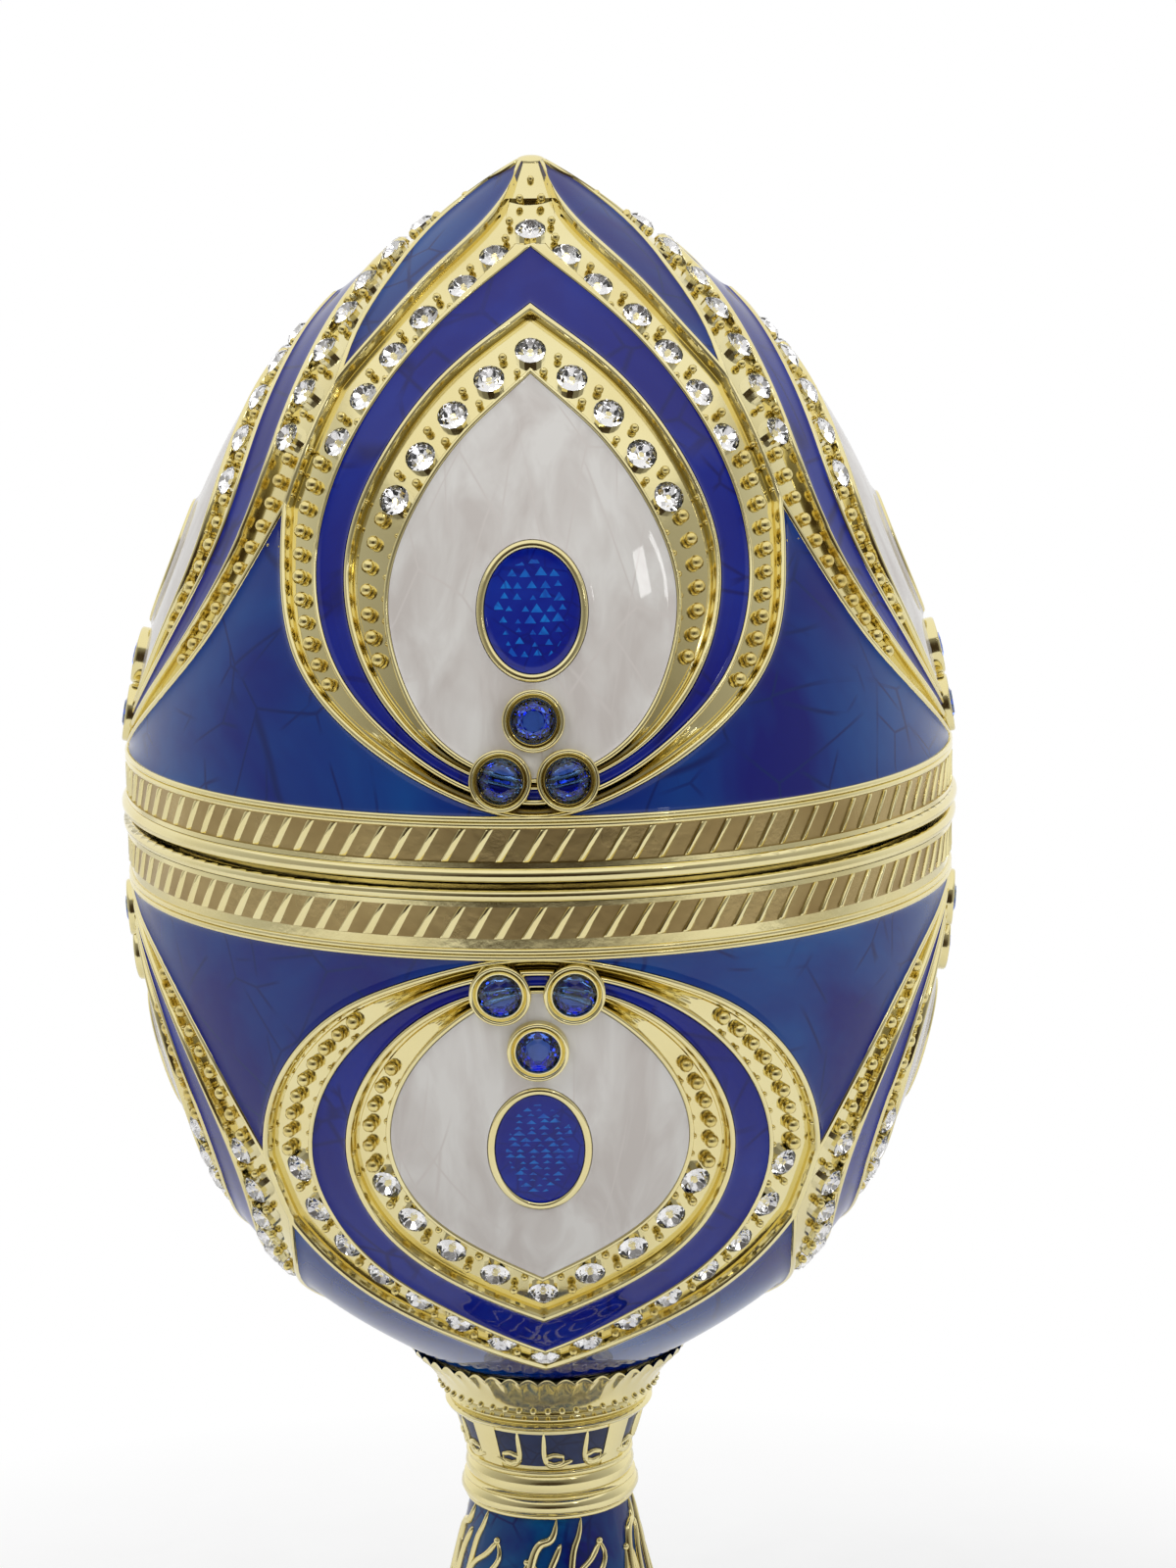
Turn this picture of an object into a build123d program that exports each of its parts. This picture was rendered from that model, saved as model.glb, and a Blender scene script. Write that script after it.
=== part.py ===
from build123d import *
from math import sqrt
import os

# Decorative enamelled egg on a stand: a cast egg that opens at its middle on a hinge at the back,
# set with faceted stones and carried by a petal cup, a neck, a collar and a flaring foot.
# Millimetres. The origin is the centre of the foot's underside, +Z is up and the front faces -Y.

# Egg
egg_radius = 35.3
lid_shell_height = 49.7
body_shell_height = 47.0
opening_height = 115.0

# Depths of the layers under the crest of the raised gold lines
enamel_depth = 0.35
channel_depth = 0.9
bed_depth = 1.15
wall_depth = 2.8
line_width = 0.65
seat_gap = 0.02
enamel_gap = 0.05

# Outlines of the two shells: radius as a share of the egg's radius,
# height as a share of the shell's height, counted from the rim band
lid_outline_shares = (
    (0.999, 0.0), (0.952, 0.171), (0.848, 0.372), (0.704, 0.573), (0.487, 0.755), (0.212, 0.905),
    (0.0, 1.0),
)
body_outline_shares = (
    (1.0, 0.0), (0.966, 0.256), (0.856, 0.511), (0.683, 0.713), (0.422, 0.872), (0.255, 0.945),
    (0.0, 1.0),
)

# Half outlines of the pointed motif on the lid, from its tip to its foot, in the same shares
lid_white_shares = (
    (0.0, 0.662), (0.142, 0.574), (0.253, 0.467), (0.318, 0.338), (0.293, 0.217), (0.218, 0.125),
    (0.0, 0.058),
)
lid_inner_shares = (
    (0.0, 0.768), (0.18, 0.674), (0.337, 0.539), (0.419, 0.39), (0.392, 0.239), (0.285, 0.127),
    (0.156, 0.066), (0.0, 0.04),
)
lid_ribbon_shares = (
    (0.0, 0.85), (0.17, 0.759), (0.328, 0.641), (0.448, 0.49), (0.484, 0.342), (0.431, 0.211),
    (0.289, 0.107), (0.156, 0.05), (0.0, 0.026),
)
lid_outer_shares = (
    (0.0, 1.016), (0.042, 0.954), (0.098, 0.901), (0.234, 0.813), (0.36, 0.72), (0.482, 0.618),
    (0.552, 0.513), (0.573, 0.37), (0.536, 0.223), (0.39, 0.107), (0.198, 0.03), (0.0, -0.006),
)

# The same outlines on the lower half, counted downwards from the rim band
body_white_shares = (
    (0.0, 0.6), (0.15, 0.534), (0.283, 0.447), (0.337, 0.335), (0.31, 0.236), (0.2, 0.125),
    (0.0, 0.056),
)
body_inner_shares = (
    (0.0, 0.71), (0.18, 0.635), (0.359, 0.529), (0.445, 0.37), (0.4, 0.225), (0.25, 0.096),
    (0.0, 0.041),
)
body_ribbon_shares = (
    (0.0, 0.795), (0.223, 0.684), (0.408, 0.579), (0.52, 0.415), (0.483, 0.247), (0.358, 0.125),
    (0.184, 0.05), (0.0, 0.026),
)
body_outer_shares = (
    (0.0, 0.866), (0.235, 0.76), (0.448, 0.66), (0.565, 0.573), (0.632, 0.49), (0.649, 0.405),
    (0.59, 0.226), (0.448, 0.101), (0.249, 0.028), (0.0, -0.008),
)

# Places of the stones, in the same shares; a stone off the middle has a twin on the other side
lid_inner_stone_shares = (
    (0.0, 0.698), (0.094, 0.656), (0.176, 0.602), (0.249, 0.539), (0.308, 0.473),
)
lid_outer_stone_shares = (
    (0.0, 0.879), (0.084, 0.84), (0.156, 0.794), (0.246, 0.746), (0.316, 0.689), (0.384, 0.625),
    (0.443, 0.555),
)
body_inner_stone_shares = (
    (0.0, 0.639), (0.11, 0.598), (0.21, 0.549), (0.297, 0.49), (0.354, 0.423),
)
body_outer_stone_shares = (
    (0.0, 0.821), (0.102, 0.777), (0.198, 0.724), (0.292, 0.675), (0.38, 0.624), (0.459, 0.569),
    (0.525, 0.501), (0.562, 0.42),
)
lid_blue_stone_shares = ((0.0, 0.145), (0.074, 0.054))
body_blue_stone_shares = ((0.0, 0.156), (0.082, 0.058))
motif_count = 4

# Ovals: centre as a share of the shell's height, half width and half height
lid_oval_share = 0.31
lid_oval_half_width = 4.4
lid_oval_half_height = 5.3
body_oval_share = 0.339
body_oval_half_width = 4.2
body_oval_half_height = 5.5

# Stones and their collars
clear_stone_radius = 1.25
clear_stone_height = 1.15
stone_seat_depth = 1.02
blue_stone_radius = 1.7
blue_stone_height = 1.75
stone_facets = 8
girdle_share = 0.35
table_share = 0.56
collar_outer_radius = 2.45
collar_rise = 0.55
stone_clearance = 0.05

# Rim bands at the opening
lid_rim_height = 5.5
body_rim_height = 6.0
rim_gap = 0.25
rim_wall = 1.7
lid_lip_radius = 0.6
body_lip_radius = 0.5
lip_setback = 0.1
edge_height = 0.4
edge_rise = 0.1
flute_land_setback = 0.15
fillet_radius = 0.25
register_height = 1.2
register_wall = 0.8
register_clearance = 0.4

# Magnets behind the front of the rim bands
magnet_radius = 2.0
magnet_height = 1.6
magnet_wall = 0.8
magnet_clearance = 0.05
magnet_gap = 0.4

# Hinge at the back
pin_radius = 0.6
pin_clearance = 0.05
pin_head_radius = 0.95
pin_head_height = 0.4
knuckle_radius = 1.4
hinge_width = 14.0
middle_knuckle_width = 4.6
knuckle_gap = 0.3
leaf_thickness = 1.1
leaf_height = 3.8
leaf_stand_out = 0.75
leaf_rim_gap = 0.4
barrel_clearance = 0.35

# Liner in the lower half
liner_clearance = 0.2
liner_wall = 0.9
liner_rim_drop = 1.0

# Petal cup, neck and collar
cup_bottom_depth = 54.6
cup_rim_depth = 49.7
cup_rim_radius = 12.0
cup_waist_radius = 9.0
cup_floor_radius = 8.6
cup_bead_radius = 0.6
cup_egg_clearance = 0.05
petal_count = 16
petal_notch_radius = 1.15
neck_height = 4.2
neck_top_radius = 8.5
neck_bottom_radius = 7.15
neck_enamel_thickness = 0.4
neck_lip_height = 0.45
collar_core_radius = 7.1
collar_upper_roll = 1.35
collar_upper_bulge = 0.85
collar_lower_roll = 0.95
collar_lower_core_radius = 6.6
collar_lower_bulge = 0.8

# Foot
foot_top_radius = 7.1
foot_bottom_radius = 27.6
foot_enamel_thickness = 0.5
foot_enamel_gap = 0.1
foot_wall = 2.2
foot_web_height = 10.0
foot_outline_shares = ((0.0, 1.0), (0.075, 0.84), (0.2, 0.63), (0.42, 0.36), (0.72, 0.14), (1.0, 0.0))
foot_rim_radius = 29.0
foot_rim_height = 6.0
foot_rim_wall = 2.4
foot_lip_radius = 0.7
foot_rim_lift = 0.5

# Underside
plate_radius = 27.4
plate_thickness = 1.2
plate_clearance = 0.15
felt_thickness = 1.2
felt_setback = 0.3

# Screw through the stand
screw_radius = 1.5
screw_hole_clearance = 0.15
screw_head_radius = 2.8
screw_head_height = 1.8
screw_tail = 2.5
washer_radius = 3.6
washer_thickness = 0.6
nut_across_flats = 5.5
nut_height = 2.4
nut_thread_clearance = 0.02

# One overrun for every cut
overrun = 1.0

lid_seat = opening_height + lid_rim_height
body_seat = opening_height - body_rim_height
egg_bottom = body_seat - body_shell_height
cup_bottom = opening_height - cup_bottom_depth
cup_rim = opening_height - cup_rim_depth
neck_bottom = cup_bottom - neck_height
screw_hole_radius = screw_radius + screw_hole_clearance


def polar_copies(shape, count):
    """Copies of a shape, turned evenly round the egg's axis."""
    return [Rot(0, 0, 360 * i / count) * shape for i in range(count)]


def ring(inner_radius, outer_radius, low, high):
    """A plain round ring between two heights."""
    height = high - low
    foot_centre = (Align.CENTER, Align.CENTER, Align.MIN)
    outer = Cylinder(outer_radius, height, align=foot_centre)
    bore = Pos(0, 0, -overrun) * Cylinder(inner_radius, height + 2 * overrun, align=foot_centre)
    return Pos(0, 0, low) * (outer - bore)


def post(radius, low, high):
    """A round bar on the egg's axis between two heights."""
    return Pos(0, 0, low) * Cylinder(radius, high - low, align=(Align.CENTER, Align.CENTER, Align.MIN))


def turned(*edges):
    """A solid of revolution about the egg's axis, from the edges of its half section."""
    return revolve(make_face(Curve() + list(edges)), Axis.Z)


class Half:
    """One half of the egg: its outline, its layers and the places on its surface."""

    def __init__(self, outline_shares, seat, height, up):
        self.seat = seat
        self.height = height
        self.up = up
        points = [self.section_point(r, h) for r, h in outline_shares]
        self.crest = Spline(points)
        self.knots = [(p, self.normal_at(p)) for p in points]

    def section_point(self, radius_share, height_share):
        return Vector(egg_radius * radius_share, 0, self.level(height_share))

    def level(self, height_share):
        return self.seat + self.up * self.height * height_share

    def normal_at(self, point):
        tangent = self.crest.tangent_at(self.crest.param_at_point(point))
        normal = Vector(abs(tangent.Z), 0, self.up * abs(tangent.X))
        return normal.normalized()

    def outline(self, depth):
        """Section points of the surface that lies a depth under the crest."""
        start, start_normal = self.knots[0]
        points = [Vector(start.X - depth / start_normal.X, 0, start.Z)]
        for point, normal in self.knots[1:-1]:
            points.append(point - normal * depth)
        tip, tip_normal = self.knots[-1]
        points.append(Vector(0, 0, tip.Z - depth / tip_normal.Z))
        return points

    def core(self, depth):
        """The solid inside the surface that lies a depth under the crest."""
        points = self.outline(depth)
        seat_centre = Vector(0, 0, self.seat)
        return turned(Spline(points), Line(points[-1], seat_centre), Line(seat_centre, points[0]))

    def layer(self, outer_depth, inner_depth):
        """The shell between two depths."""
        outer = self.outline(outer_depth)
        inner = self.outline(inner_depth)
        section = Spline(outer), Line(outer[-1], inner[-1]), Spline(inner), Line(inner[0], outer[0])
        return turned(*section)

    def section_at(self, level):
        """Radius and normal of the crest at a level, found by halving the outline."""
        low, high = 0.0, 1.0
        for _ in range(40):
            middle = (low + high) / 2
            if self.up * (self.crest.position_at(middle).Z - level) < 0:
                low = middle
            else:
                high = middle
        tangent = self.crest.tangent_at(low)
        return self.crest.position_at(low).X, Vector(abs(tangent.Z), 0, self.up * abs(tangent.X))

    def spot(self, side_share, height_share, depth):
        """A plane on the front of the egg, facing outwards, at a depth under the crest."""
        side = egg_radius * side_share
        level = self.level(height_share)
        radius, section_normal = self.section_at(level)
        front = sqrt(radius**2 - side**2)
        tilt = section_normal.X / radius
        normal = Vector(side * tilt, -front * tilt, section_normal.Z)
        place = Vector(side, -front, level) - normal.normalized() * depth
        return Plane(origin=place, x_dir=Vector(front, side, 0), z_dir=normal)

    def motif_face(self, half_shares, widening=0):
        """The flat face inside a motif's outline, widened or narrowed all round."""
        right = [Vector(egg_radius * x, 0, self.level(h)) for x, h in half_shares]
        if widening:
            right = self.widened(right, widening)
        left = [Vector(-p.X, 0, p.Z) for p in right]
        return make_face(Curve() + [self.half_outline(right), self.half_outline(left)])

    def half_outline(self, points):
        """One side of a motif's outline, from its tip to its foot, which it meets level."""
        towards_middle = Vector(-1 if points[1].X > 0 else 1, 0, 0)
        return Spline(points, tangents=(points[1] - points[0], towards_middle))

    def widened(self, points, widening):
        """The points of a half outline, each moved outwards along its normal."""
        edge = self.half_outline(points)
        slant = edge.tangent_at(0).X
        moved = [points[0] + Vector(0, 0, self.up * widening / slant)]
        for point in points[1:-1]:
            tangent = edge.tangent_at(edge.param_at_point(point))
            moved.append(point + Vector(-tangent.Z, 0, tangent.X) * (self.up * widening))
        moved.append(points[-1] - Vector(0, 0, self.up * widening))
        return moved

    def prism(self, face):
        """A flat face pushed forwards, out through the egg's front."""
        return extrude(face, amount=egg_radius + overrun, dir=(0, -1, 0))


def wedge(seat, up, height, inset=0):
    """The front quarter of the egg, or a little less, between the planes where motifs meet."""
    reach = egg_radius * 2
    corners = [(0, 0), (reach, -reach), (-reach, -reach)]
    face = Pos(0, -inset * sqrt(2)) * make_face(Polyline(*corners, close=True))
    low = min(seat, seat + up * (height + overrun))
    return extrude(Pos(0, 0, low) * face, amount=height + overrun)


def stone(radius, height):
    """A faceted stone: a short girdle under a crown that narrows to a flat table."""
    girdle = height * girdle_share
    base = RegularPolygon(radius, stone_facets)
    table = RegularPolygon(radius * table_share, stone_facets)
    sections = [base, Pos(0, 0, girdle) * base, Pos(0, 0, height) * table]
    return loft(sections, ruled=True)


def mirrored_places(shares):
    """Each place and its twin on the motif's other side."""
    places = list(shares)
    places += [(-side, height) for side, height in shares if side > 0]
    return places


class Motif:
    """The ornament of one half: gold bands, frames, collars, enamels and stones of one motif."""

    def __init__(self, half, outlines, oval, blue_places, clear_places):
        self.half = half
        self.outlines = outlines
        self.oval = oval
        self.clear_places = mirrored_places(clear_places)
        self.blue_places = mirrored_places(blue_places)
        self.front = wedge(half.seat, half.up, half.height)
        self.channel_front = wedge(half.seat, half.up, half.height, line_width / 2)
        self.seat_depth = bed_depth - seat_gap

    def outline(self, name, widening=0):
        return self.half.motif_face(self.outlines[name], widening)

    def oval_outline(self, widening=0):
        """The oval frame's outer edge, or an ellipse a little larger or smaller than it."""
        centre_share, half_width, half_height = self.oval
        centre = Plane(origin=(0, 0, self.half.level(centre_share)), x_dir=(1, 0, 0), z_dir=(0, -1, 0))
        return centre * Ellipse(half_width + widening, half_height + widening)

    def cut_from(self, layer, outer_face, inner_face=None):
        """The piece of a layer between two outlines, within the front quarter."""
        piece = layer & (self.half.prism(outer_face) & self.front)
        if inner_face is not None:
            piece -= self.half.prism(inner_face)
        return piece

    def band(self, outer, inner):
        """A raised gold band with a channel between its two edge lines."""
        half = self.half
        block = self.cut_from(half.layer(0, self.seat_depth), self.outline(outer), self.outline(inner))
        trough = half.prism(self.outline(outer, -line_width)) & self.channel_front
        trough = half.layer(-overrun, channel_depth) & trough
        trough -= half.prism(self.outline(inner, line_width))
        block -= trough
        return block.cut(*self.collar_blocks(enamel_gap), *self.stone_seats())

    def stone_seats(self):
        """Round seats of the clear stones, sunk a little into the channel's floor."""
        radius = clear_stone_radius + stone_clearance
        return self.uprights(self.clear_places, radius, stone_seat_depth, stone_seat_depth + overrun)

    def bands(self):
        return [self.band("outer", "ribbon"), self.band("inner", "white")]

    def oval_frame(self):
        layer = self.half.layer(0, self.seat_depth)
        return self.cut_from(layer, self.oval_outline(), self.oval_outline(-line_width))

    def uprights(self, places, radius, depth, height):
        """Round bars that stand square on the surface."""
        bar = Cylinder(radius, height, align=(Align.CENTER, Align.CENTER, Align.MIN))
        return [self.half.spot(x, h, depth) * bar for x, h in places]

    def collar_blocks(self, clearance=0):
        """Round blocks of the blue stones' collars, or a little wider to cut room for them."""
        radius = collar_outer_radius + clearance
        return self.uprights(self.blue_places, radius, self.seat_depth, self.seat_depth + collar_rise)

    def collars(self):
        """Collars of the blue stones: round cups with a thin floor."""
        bore_radius = blue_stone_radius + stone_clearance
        bore_height = channel_depth + collar_rise + overrun
        bores = self.uprights(self.blue_places, bore_radius, channel_depth, bore_height)
        return [block - bore for block, bore in zip(self.collar_blocks(), bores)]

    def enamel(self, outer_face, inner_face=None):
        """One enamel piece, cut round the stones and the stone collars."""
        layer = self.half.layer(enamel_depth, self.seat_depth)
        piece = self.cut_from(layer, outer_face, inner_face)
        return piece.cut(*self.collar_blocks(enamel_gap), *self.stone_seats())

    def ribbon_enamel(self):
        return self.enamel(self.outline("ribbon", -enamel_gap), self.outline("inner", enamel_gap))

    def white_enamel(self):
        return self.enamel(self.outline("white", -enamel_gap), self.oval_outline(enamel_gap))

    def oval_enamel(self):
        return self.enamel(self.oval_outline(-line_width - enamel_gap))

    def field_enamel(self):
        """The enamel outside the motifs, in one piece per gap, open where the stand's screw passes."""
        field = self.half.layer(enamel_depth, bed_depth - enamel_gap)
        field -= post(screw_hole_radius, egg_bottom - overrun, body_seat)
        prism = self.half.prism(self.outline("outer", enamel_gap))
        return field.cut(*polar_copies(prism, motif_count))

    def stones(self, places, radius, height, depth):
        """Stones of one size, each just off the floor of its seat."""
        gem = stone(radius, height)
        return [self.half.spot(x, h, depth - seat_gap) * gem for x, h in places]


def all_round(pieces):
    """The pieces of one motif, repeated at every side of the egg."""
    solids = []
    for piece in pieces:
        for copy in polar_copies(piece, motif_count):
            solids += copy.solids()
    return solids


def dressed_half(prefix, half, motif):
    """The nodes of one half: its cast shell, its gold work, its enamels and its stones."""
    clear = motif.stones(motif.clear_places, clear_stone_radius, clear_stone_height, stone_seat_depth)
    blue = motif.stones(motif.blue_places, blue_stone_radius, blue_stone_height, channel_depth)
    return {
        f"{prefix}_shell": half.layer(bed_depth, wall_depth),
        f"{prefix}_gold_bands": all_round(motif.bands()),
        f"{prefix}_oval_frames": all_round([motif.oval_frame()]),
        f"{prefix}_stone_collars": all_round(motif.collars()),
        f"{prefix}_field_enamel": motif.field_enamel(),
        f"{prefix}_ribbon_enamel": all_round([motif.ribbon_enamel()]),
        f"{prefix}_white_enamel": all_round([motif.white_enamel()]),
        f"{prefix}_oval_enamel": all_round([motif.oval_enamel()]),
        f"{prefix}_clear_stones": all_round(clear),
        f"{prefix}_blue_stones": all_round(blue),
    }


def bulge(radius, low, high, bulge_radius):
    """A round bead in a section, standing out from a wall between two levels."""
    middle = Vector(radius + bulge_radius, 0, (low + high) / 2)
    return ThreePointArc(Vector(radius, 0, low), middle, Vector(radius, 0, high))


def rim_band(up, rim_height, lip_radius):
    """A rim band: round lip at the opening, bright edge, land for the flutes, two fine beads."""
    levels = [rim_gap]
    levels.append(levels[-1] + 2 * lip_radius)
    levels.append(levels[-1] + edge_height)
    levels.append(rim_height - 4 * fillet_radius)
    levels.append(rim_height - 2 * fillet_radius)
    levels.append(rim_height)
    heights = [opening_height + up * level for level in levels]
    lip_wall = egg_radius - lip_setback
    edge_wall = egg_radius + edge_rise
    land_wall = egg_radius - flute_land_setback
    bore = egg_radius - rim_wall
    edges = [
        bulge(lip_wall, heights[0], heights[1], lip_radius),
        Polyline(
            (lip_wall, 0, heights[1]), (edge_wall, 0, heights[1]), (edge_wall, 0, heights[2]),
            (land_wall, 0, heights[2]), (land_wall, 0, heights[3]),
        ),
        bulge(land_wall, heights[3], heights[4], fillet_radius),
        bulge(land_wall, heights[4], heights[5], fillet_radius),
        Polyline(
            (land_wall, 0, heights[5]), (bore, 0, heights[5]), (bore, 0, heights[0]),
            (lip_wall, 0, heights[0]),
        ),
    ]
    return turned(*edges)


lip_reach = egg_radius - lip_setback + lid_lip_radius
leaf_inner = egg_radius + leaf_stand_out - leaf_thickness
leaf_outer = egg_radius + leaf_stand_out
hinge_axis_y = max(leaf_outer, lip_reach) + knuckle_radius + barrel_clearance
side_knuckle_width = (hinge_width - middle_knuckle_width - 2 * knuckle_gap) / 2
side_knuckle_place = (middle_knuckle_width + side_knuckle_width) / 2 + knuckle_gap


def barrel(radius, width, place):
    """A round bar along the hinge axis."""
    return Pos(place, hinge_axis_y, opening_height) * Rot(0, 90, 0) * Cylinder(radius, width)


def leaf_plate(up):
    """The curved plate of a leaf, let into the back of a rim band."""
    low = opening_height + up * leaf_rim_gap
    high = opening_height + up * (leaf_rim_gap + leaf_height)
    plate = ring(leaf_inner, leaf_outer, min(low, high), max(low, high))
    window = Box(hinge_width, egg_radius, 2 * body_rim_height, align=(Align.CENTER, Align.MIN, Align.CENTER))
    return plate & (Pos(0, overrun, opening_height) * window)


def leaf_arm(up, width, place):
    """The short arm from a leaf's plate to one knuckle."""
    reach = hinge_axis_y - leaf_inner
    height = knuckle_radius - leaf_rim_gap
    arm = Box(width, reach, height, align=(Align.CENTER, Align.MIN, Align.CENTER))
    middle = opening_height + up * (leaf_rim_gap + height / 2)
    return Pos(place, leaf_inner, middle) * arm


def leaf(up, knuckles):
    """One hinge leaf: plate, arms and bored knuckles, each knuckle given as width and place."""
    shape = leaf_plate(up)
    for width, place in knuckles:
        shape += leaf_arm(up, width, place)
    for width, place in knuckles:
        shape += barrel(knuckle_radius, width, place)
    return shape - barrel(pin_radius + pin_clearance, hinge_width + 2 * overrun, 0)


def lip_relief(up, knuckles):
    """Room in a rim band for its own leaf, and for the knuckles that pass over its lip."""
    shape = leaf_plate(up)
    for width, place in knuckles:
        shape += leaf_arm(up, width, place)
    return shape


upper_knuckles = [(middle_knuckle_width, 0)]
lower_knuckles = [(side_knuckle_width, side_knuckle_place), (side_knuckle_width, -side_knuckle_place)]

magnet_bore_radius = magnet_radius + magnet_clearance
boss_radius = magnet_bore_radius + magnet_wall
rim_bore = egg_radius - rim_wall
register_outer = rim_bore - register_clearance
register_inner = register_outer - register_wall
magnet_y = -(register_inner - magnet_wall - magnet_bore_radius)
body_magnet_face = opening_height + register_height
lid_magnet_face = body_magnet_face + magnet_gap


def magnet_boss(up, reach_radius, face):
    """A pad inside a rim band that holds a magnet, with its face a little off the opening."""
    far = face + up * (magnet_height + magnet_wall)
    low, high = min(face, far), max(face, far)
    width = 2 * boss_radius
    bridge = Box(width, reach_radius + magnet_y, high - low, align=(Align.CENTER, Align.MAX, Align.MIN))
    pad = Cylinder(boss_radius, high - low, align=(Align.CENTER, Align.CENTER, Align.MIN))
    boss = Pos(0, magnet_y, low) * (pad + bridge)
    return boss & post(reach_radius, low, high)


def magnet(up, face, radius):
    """A disc magnet, or a wider one to cut its bore."""
    far = face + up * magnet_height
    low, high = min(face, far), max(face, far)
    return Pos(0, magnet_y, low) * Cylinder(radius, high - low, align=(Align.CENTER, Align.CENTER, Align.MIN))


def lid_rim():
    band = rim_band(1, lid_rim_height, lid_lip_radius)
    band += magnet_boss(1, rim_bore + rim_wall / 2, lid_magnet_face)
    band -= magnet(1, lid_magnet_face, magnet_bore_radius)
    return band - lip_relief(1, upper_knuckles)


def body_rim():
    band = rim_band(-1, body_rim_height, body_lip_radius)
    seat = opening_height - rim_gap
    ledge = seat - register_wall
    band += ring(register_inner, rim_bore + rim_wall / 2, ledge - register_wall, ledge)
    band += ring(register_inner, register_outer, ledge - register_wall, opening_height + register_height)
    band += magnet_boss(-1, register_inner + register_wall / 2, body_magnet_face)
    band -= magnet(-1, body_magnet_face, magnet_bore_radius)
    return band - lip_relief(-1, lower_knuckles)


screw_seat = egg_bottom + wall_depth + screw_head_height
screw_head_top = screw_seat + screw_head_height


def liner(half):
    """The soft liner: a cup that lies just inside the lower shell."""
    outer = half.core(wall_depth + liner_clearance)
    inner = half.core(wall_depth + liner_clearance + liner_wall)
    rim_cut = half.seat - liner_rim_drop
    bowl = outer - inner
    keep = post(egg_radius, screw_head_top, rim_cut)
    floor = outer & post(egg_radius, screw_head_top, screw_head_top + liner_wall)
    return (bowl & keep) + floor


def bored(shape, low, high):
    """A stand piece with the screw's hole through it."""
    return shape - post(screw_hole_radius, low - overrun, high + overrun)


def lotus_cup(half):
    """The cup of petals: flared outside, fitted to the egg inside, notched between petals."""
    waist = cup_bottom + 2 * cup_bead_radius
    lower = Vector(cup_waist_radius, 0, waist)
    upper = Vector(cup_rim_radius, 0, cup_rim)
    middle = Vector((cup_waist_radius + cup_rim_radius) / 2 + cup_bead_radius / 2, 0, (waist + cup_rim) / 2)
    edges = [
        bulge(cup_floor_radius, cup_bottom, waist, cup_bead_radius),
        Line((cup_floor_radius, 0, waist), lower),
        ThreePointArc(lower, middle, upper),
        Polyline(upper, (0, 0, cup_rim), (0, 0, cup_bottom), (cup_floor_radius, 0, cup_bottom)),
    ]
    cup = turned(*edges) - half.core(-cup_egg_clearance)
    groove = Rot(90, 0, 0) * Cylinder(petal_notch_radius, 3 * petal_notch_radius)
    notch = Pos(0, -cup_rim_radius, cup_rim) * groove
    cup = cup.cut(*polar_copies(notch, petal_count))
    return bored(cup, cup_bottom, cup_rim)


def neck_section(inset_top, inset_bottom, low, high):
    """Cone of the neck between two levels, inset from its enamel."""
    def radius(level, inset):
        share = (level - neck_bottom) / neck_height
        return neck_bottom_radius + share * (neck_top_radius - neck_bottom_radius) - inset

    lower = (radius(low, inset_bottom), 0, low)
    upper = (radius(high, inset_top), 0, high)
    return turned(Polyline((0, 0, low), lower, upper, (0, 0, high), close=True))


def stem_neck():
    """The neck's cast core, with a lip above and below its enamel."""
    core = neck_section(neck_enamel_thickness, neck_enamel_thickness, neck_bottom, cup_bottom)
    core += neck_section(0, 0, neck_bottom, neck_bottom + neck_lip_height)
    core += neck_section(0, 0, cup_bottom - neck_lip_height, cup_bottom)
    return bored(core, neck_bottom, cup_bottom)


def neck_enamel():
    low, high = neck_bottom + neck_lip_height, cup_bottom - neck_lip_height
    core = neck_section(neck_enamel_thickness, neck_enamel_thickness, low, high)
    return neck_section(0, 0, low, high) - core


def stem_collar():
    split = neck_bottom - 2 * collar_upper_roll
    lower_end = split - 2 * collar_lower_roll
    edges = [
        bulge(collar_core_radius, split, neck_bottom, collar_upper_bulge),
        Line((collar_core_radius, 0, split), (collar_lower_core_radius, 0, split)),
        bulge(collar_lower_core_radius, lower_end, split, collar_lower_bulge),
        Polyline(
            (collar_lower_core_radius, 0, lower_end), (0, 0, lower_end), (0, 0, neck_bottom),
            (collar_core_radius, 0, neck_bottom),
        ),
    ]
    return bored(turned(*edges), lower_end, neck_bottom)


foot_top = neck_bottom - 2 * collar_upper_roll - 2 * collar_lower_roll
foot_bottom = felt_thickness + plate_thickness + foot_rim_height


def foot_core(inset):
    """The flaring foot inside a surface inset from its enamel."""
    spread = foot_bottom_radius - foot_top_radius
    rise = foot_top - foot_bottom
    edge = foot_top_radius - inset
    points = [(edge + spread * r, 0, foot_bottom + rise * h) for r, h in foot_outline_shares]
    edges = [Spline(points), Polyline(points[-1], (0, 0, foot_bottom), (0, 0, foot_top), points[0])]
    return turned(*edges)


def foot_shell():
    shell = foot_core(foot_enamel_thickness)
    web = foot_top - foot_web_height
    hollow = foot_core(foot_enamel_thickness + foot_wall) & post(foot_rim_radius, foot_bottom - overrun, web)
    shell -= hollow
    return bored(shell, foot_bottom, foot_top)


def foot_enamel():
    return foot_core(0) - foot_core(foot_enamel_thickness - foot_enamel_gap)


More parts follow.
